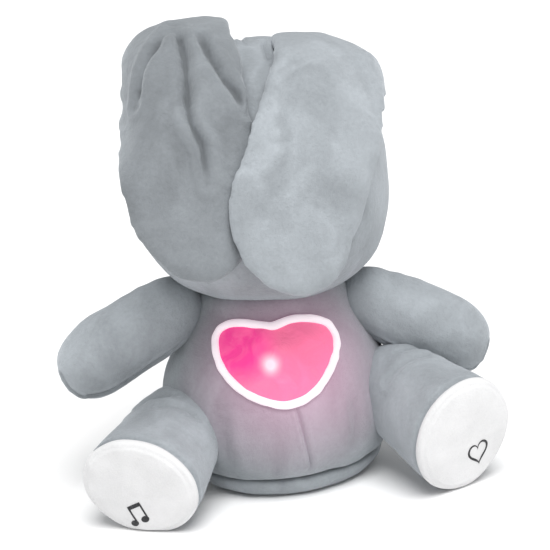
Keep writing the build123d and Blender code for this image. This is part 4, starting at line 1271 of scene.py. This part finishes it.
class BUNNY_OT_stage(Operator):
    """Set the pale floor, the soft lights and the camera"""
    bl_idname = "bunny.stage"
    bl_label = "Stage"

    def execute(self, context):
        settings = context.scene.bunny_stage
        scene = context.scene
        floor = primitive("plane", size=8)
        floor.name = "floor"
        ground = bpy.data.materials.new("pale_floor")
        ground.use_nodes = True
        shader = ground.node_tree.nodes["Principled BSDF"]
        shader.inputs["Base Color"].default_value = (0.96, 0.96, 0.96, 1)
        shader.inputs["Roughness"].default_value = 0.95
        shader.inputs["Specular IOR Level"].default_value = 0.0
        paint(floor, ground)

        scene.world = scene.world or bpy.data.worlds.new("World")
        scene.world.use_nodes = True
        sky = scene.world.node_tree.nodes["Background"]
        sky.inputs["Color"].default_value = (1.0, 1.0, 1.0, 1.0)
        sky.inputs["Strength"].default_value = settings.sky
        scene.view_settings.view_transform = "Standard"

        key = lamp("SUN", "key", KEY_PLACE)
        key.angle = math.radians(KEY_SPREAD)
        key.energy = settings.key_strength
        fill = lamp("AREA", "fill", FILL_PLACE)
        fill.shape = "SQUARE"
        fill.size = FILL_SIZE
        fill.energy = settings.fill_power

        right, up, back = camera_axes()
        aim = Vector(CAMERA_AIM) + right * CAMERA_SLIDE[0] + up * CAMERA_SLIDE[1]
        bpy.ops.object.select_all(action="DESELECT")
        bpy.ops.object.camera_add()
        camera = bpy.context.active_object
        place = aim + back * settings.distance
        camera.matrix_world = Matrix.Translation(place) @ Matrix((right, up, back)).transposed().to_4x4()
        camera.data.sensor_width = 36.0
        camera.data.lens = CAMERA_LENS
        camera.data.clip_end = 20
        scene.camera = camera
        return {"FINISHED"}


# ------------------------------------------------------------------ add-on
GROUPS = {"bunny_plush": PlushSettings, "bunny_heart": HeartSettings, "bunny_stuffing": StuffingSettings,
          "bunny_stage": StageSettings}
OPERATORS = (BUNNY_OT_torso, BUNNY_OT_head, BUNNY_OT_arms, BUNNY_OT_legs, BUNNY_OT_ears, BUNNY_OT_heart,
             BUNNY_OT_pocket, BUNNY_OT_finishes, BUNNY_OT_stage)


class BUNNY_PT_panel(Panel):
    """Sidebar list of the pieces and their settings"""
    bl_idname = "BUNNY_PT_panel"
    bl_label = "Plush bunny"
    bl_space_type = "VIEW_3D"
    bl_region_type = "UI"
    bl_category = "Bunny"

    def draw(self, context):
        for operator in OPERATORS:
            self.layout.operator(operator.bl_idname)
        for name, group in GROUPS.items():
            column = self.layout.column()
            column.separator()
            for key in group.__annotations__:
                column.prop(getattr(context.scene, name), key)


def register():
    for name, group in GROUPS.items():
        bpy.utils.register_class(group)
        setattr(bpy.types.Scene, name, PointerProperty(type=group))
    for entry in OPERATORS + (BUNNY_PT_panel,):
        bpy.utils.register_class(entry)


def unregister():
    for entry in reversed(OPERATORS + (BUNNY_PT_panel,)):
        bpy.utils.unregister_class(entry)
    for name, group in reversed(list(GROUPS.items())):
        delattr(bpy.types.Scene, name)
        bpy.utils.unregister_class(group)


def main():
    register()
    for operator in OPERATORS:
        group, name = operator.bl_idname.split(".")
        getattr(getattr(bpy.ops, group), name)()


if __name__ == "__main__":
    main()
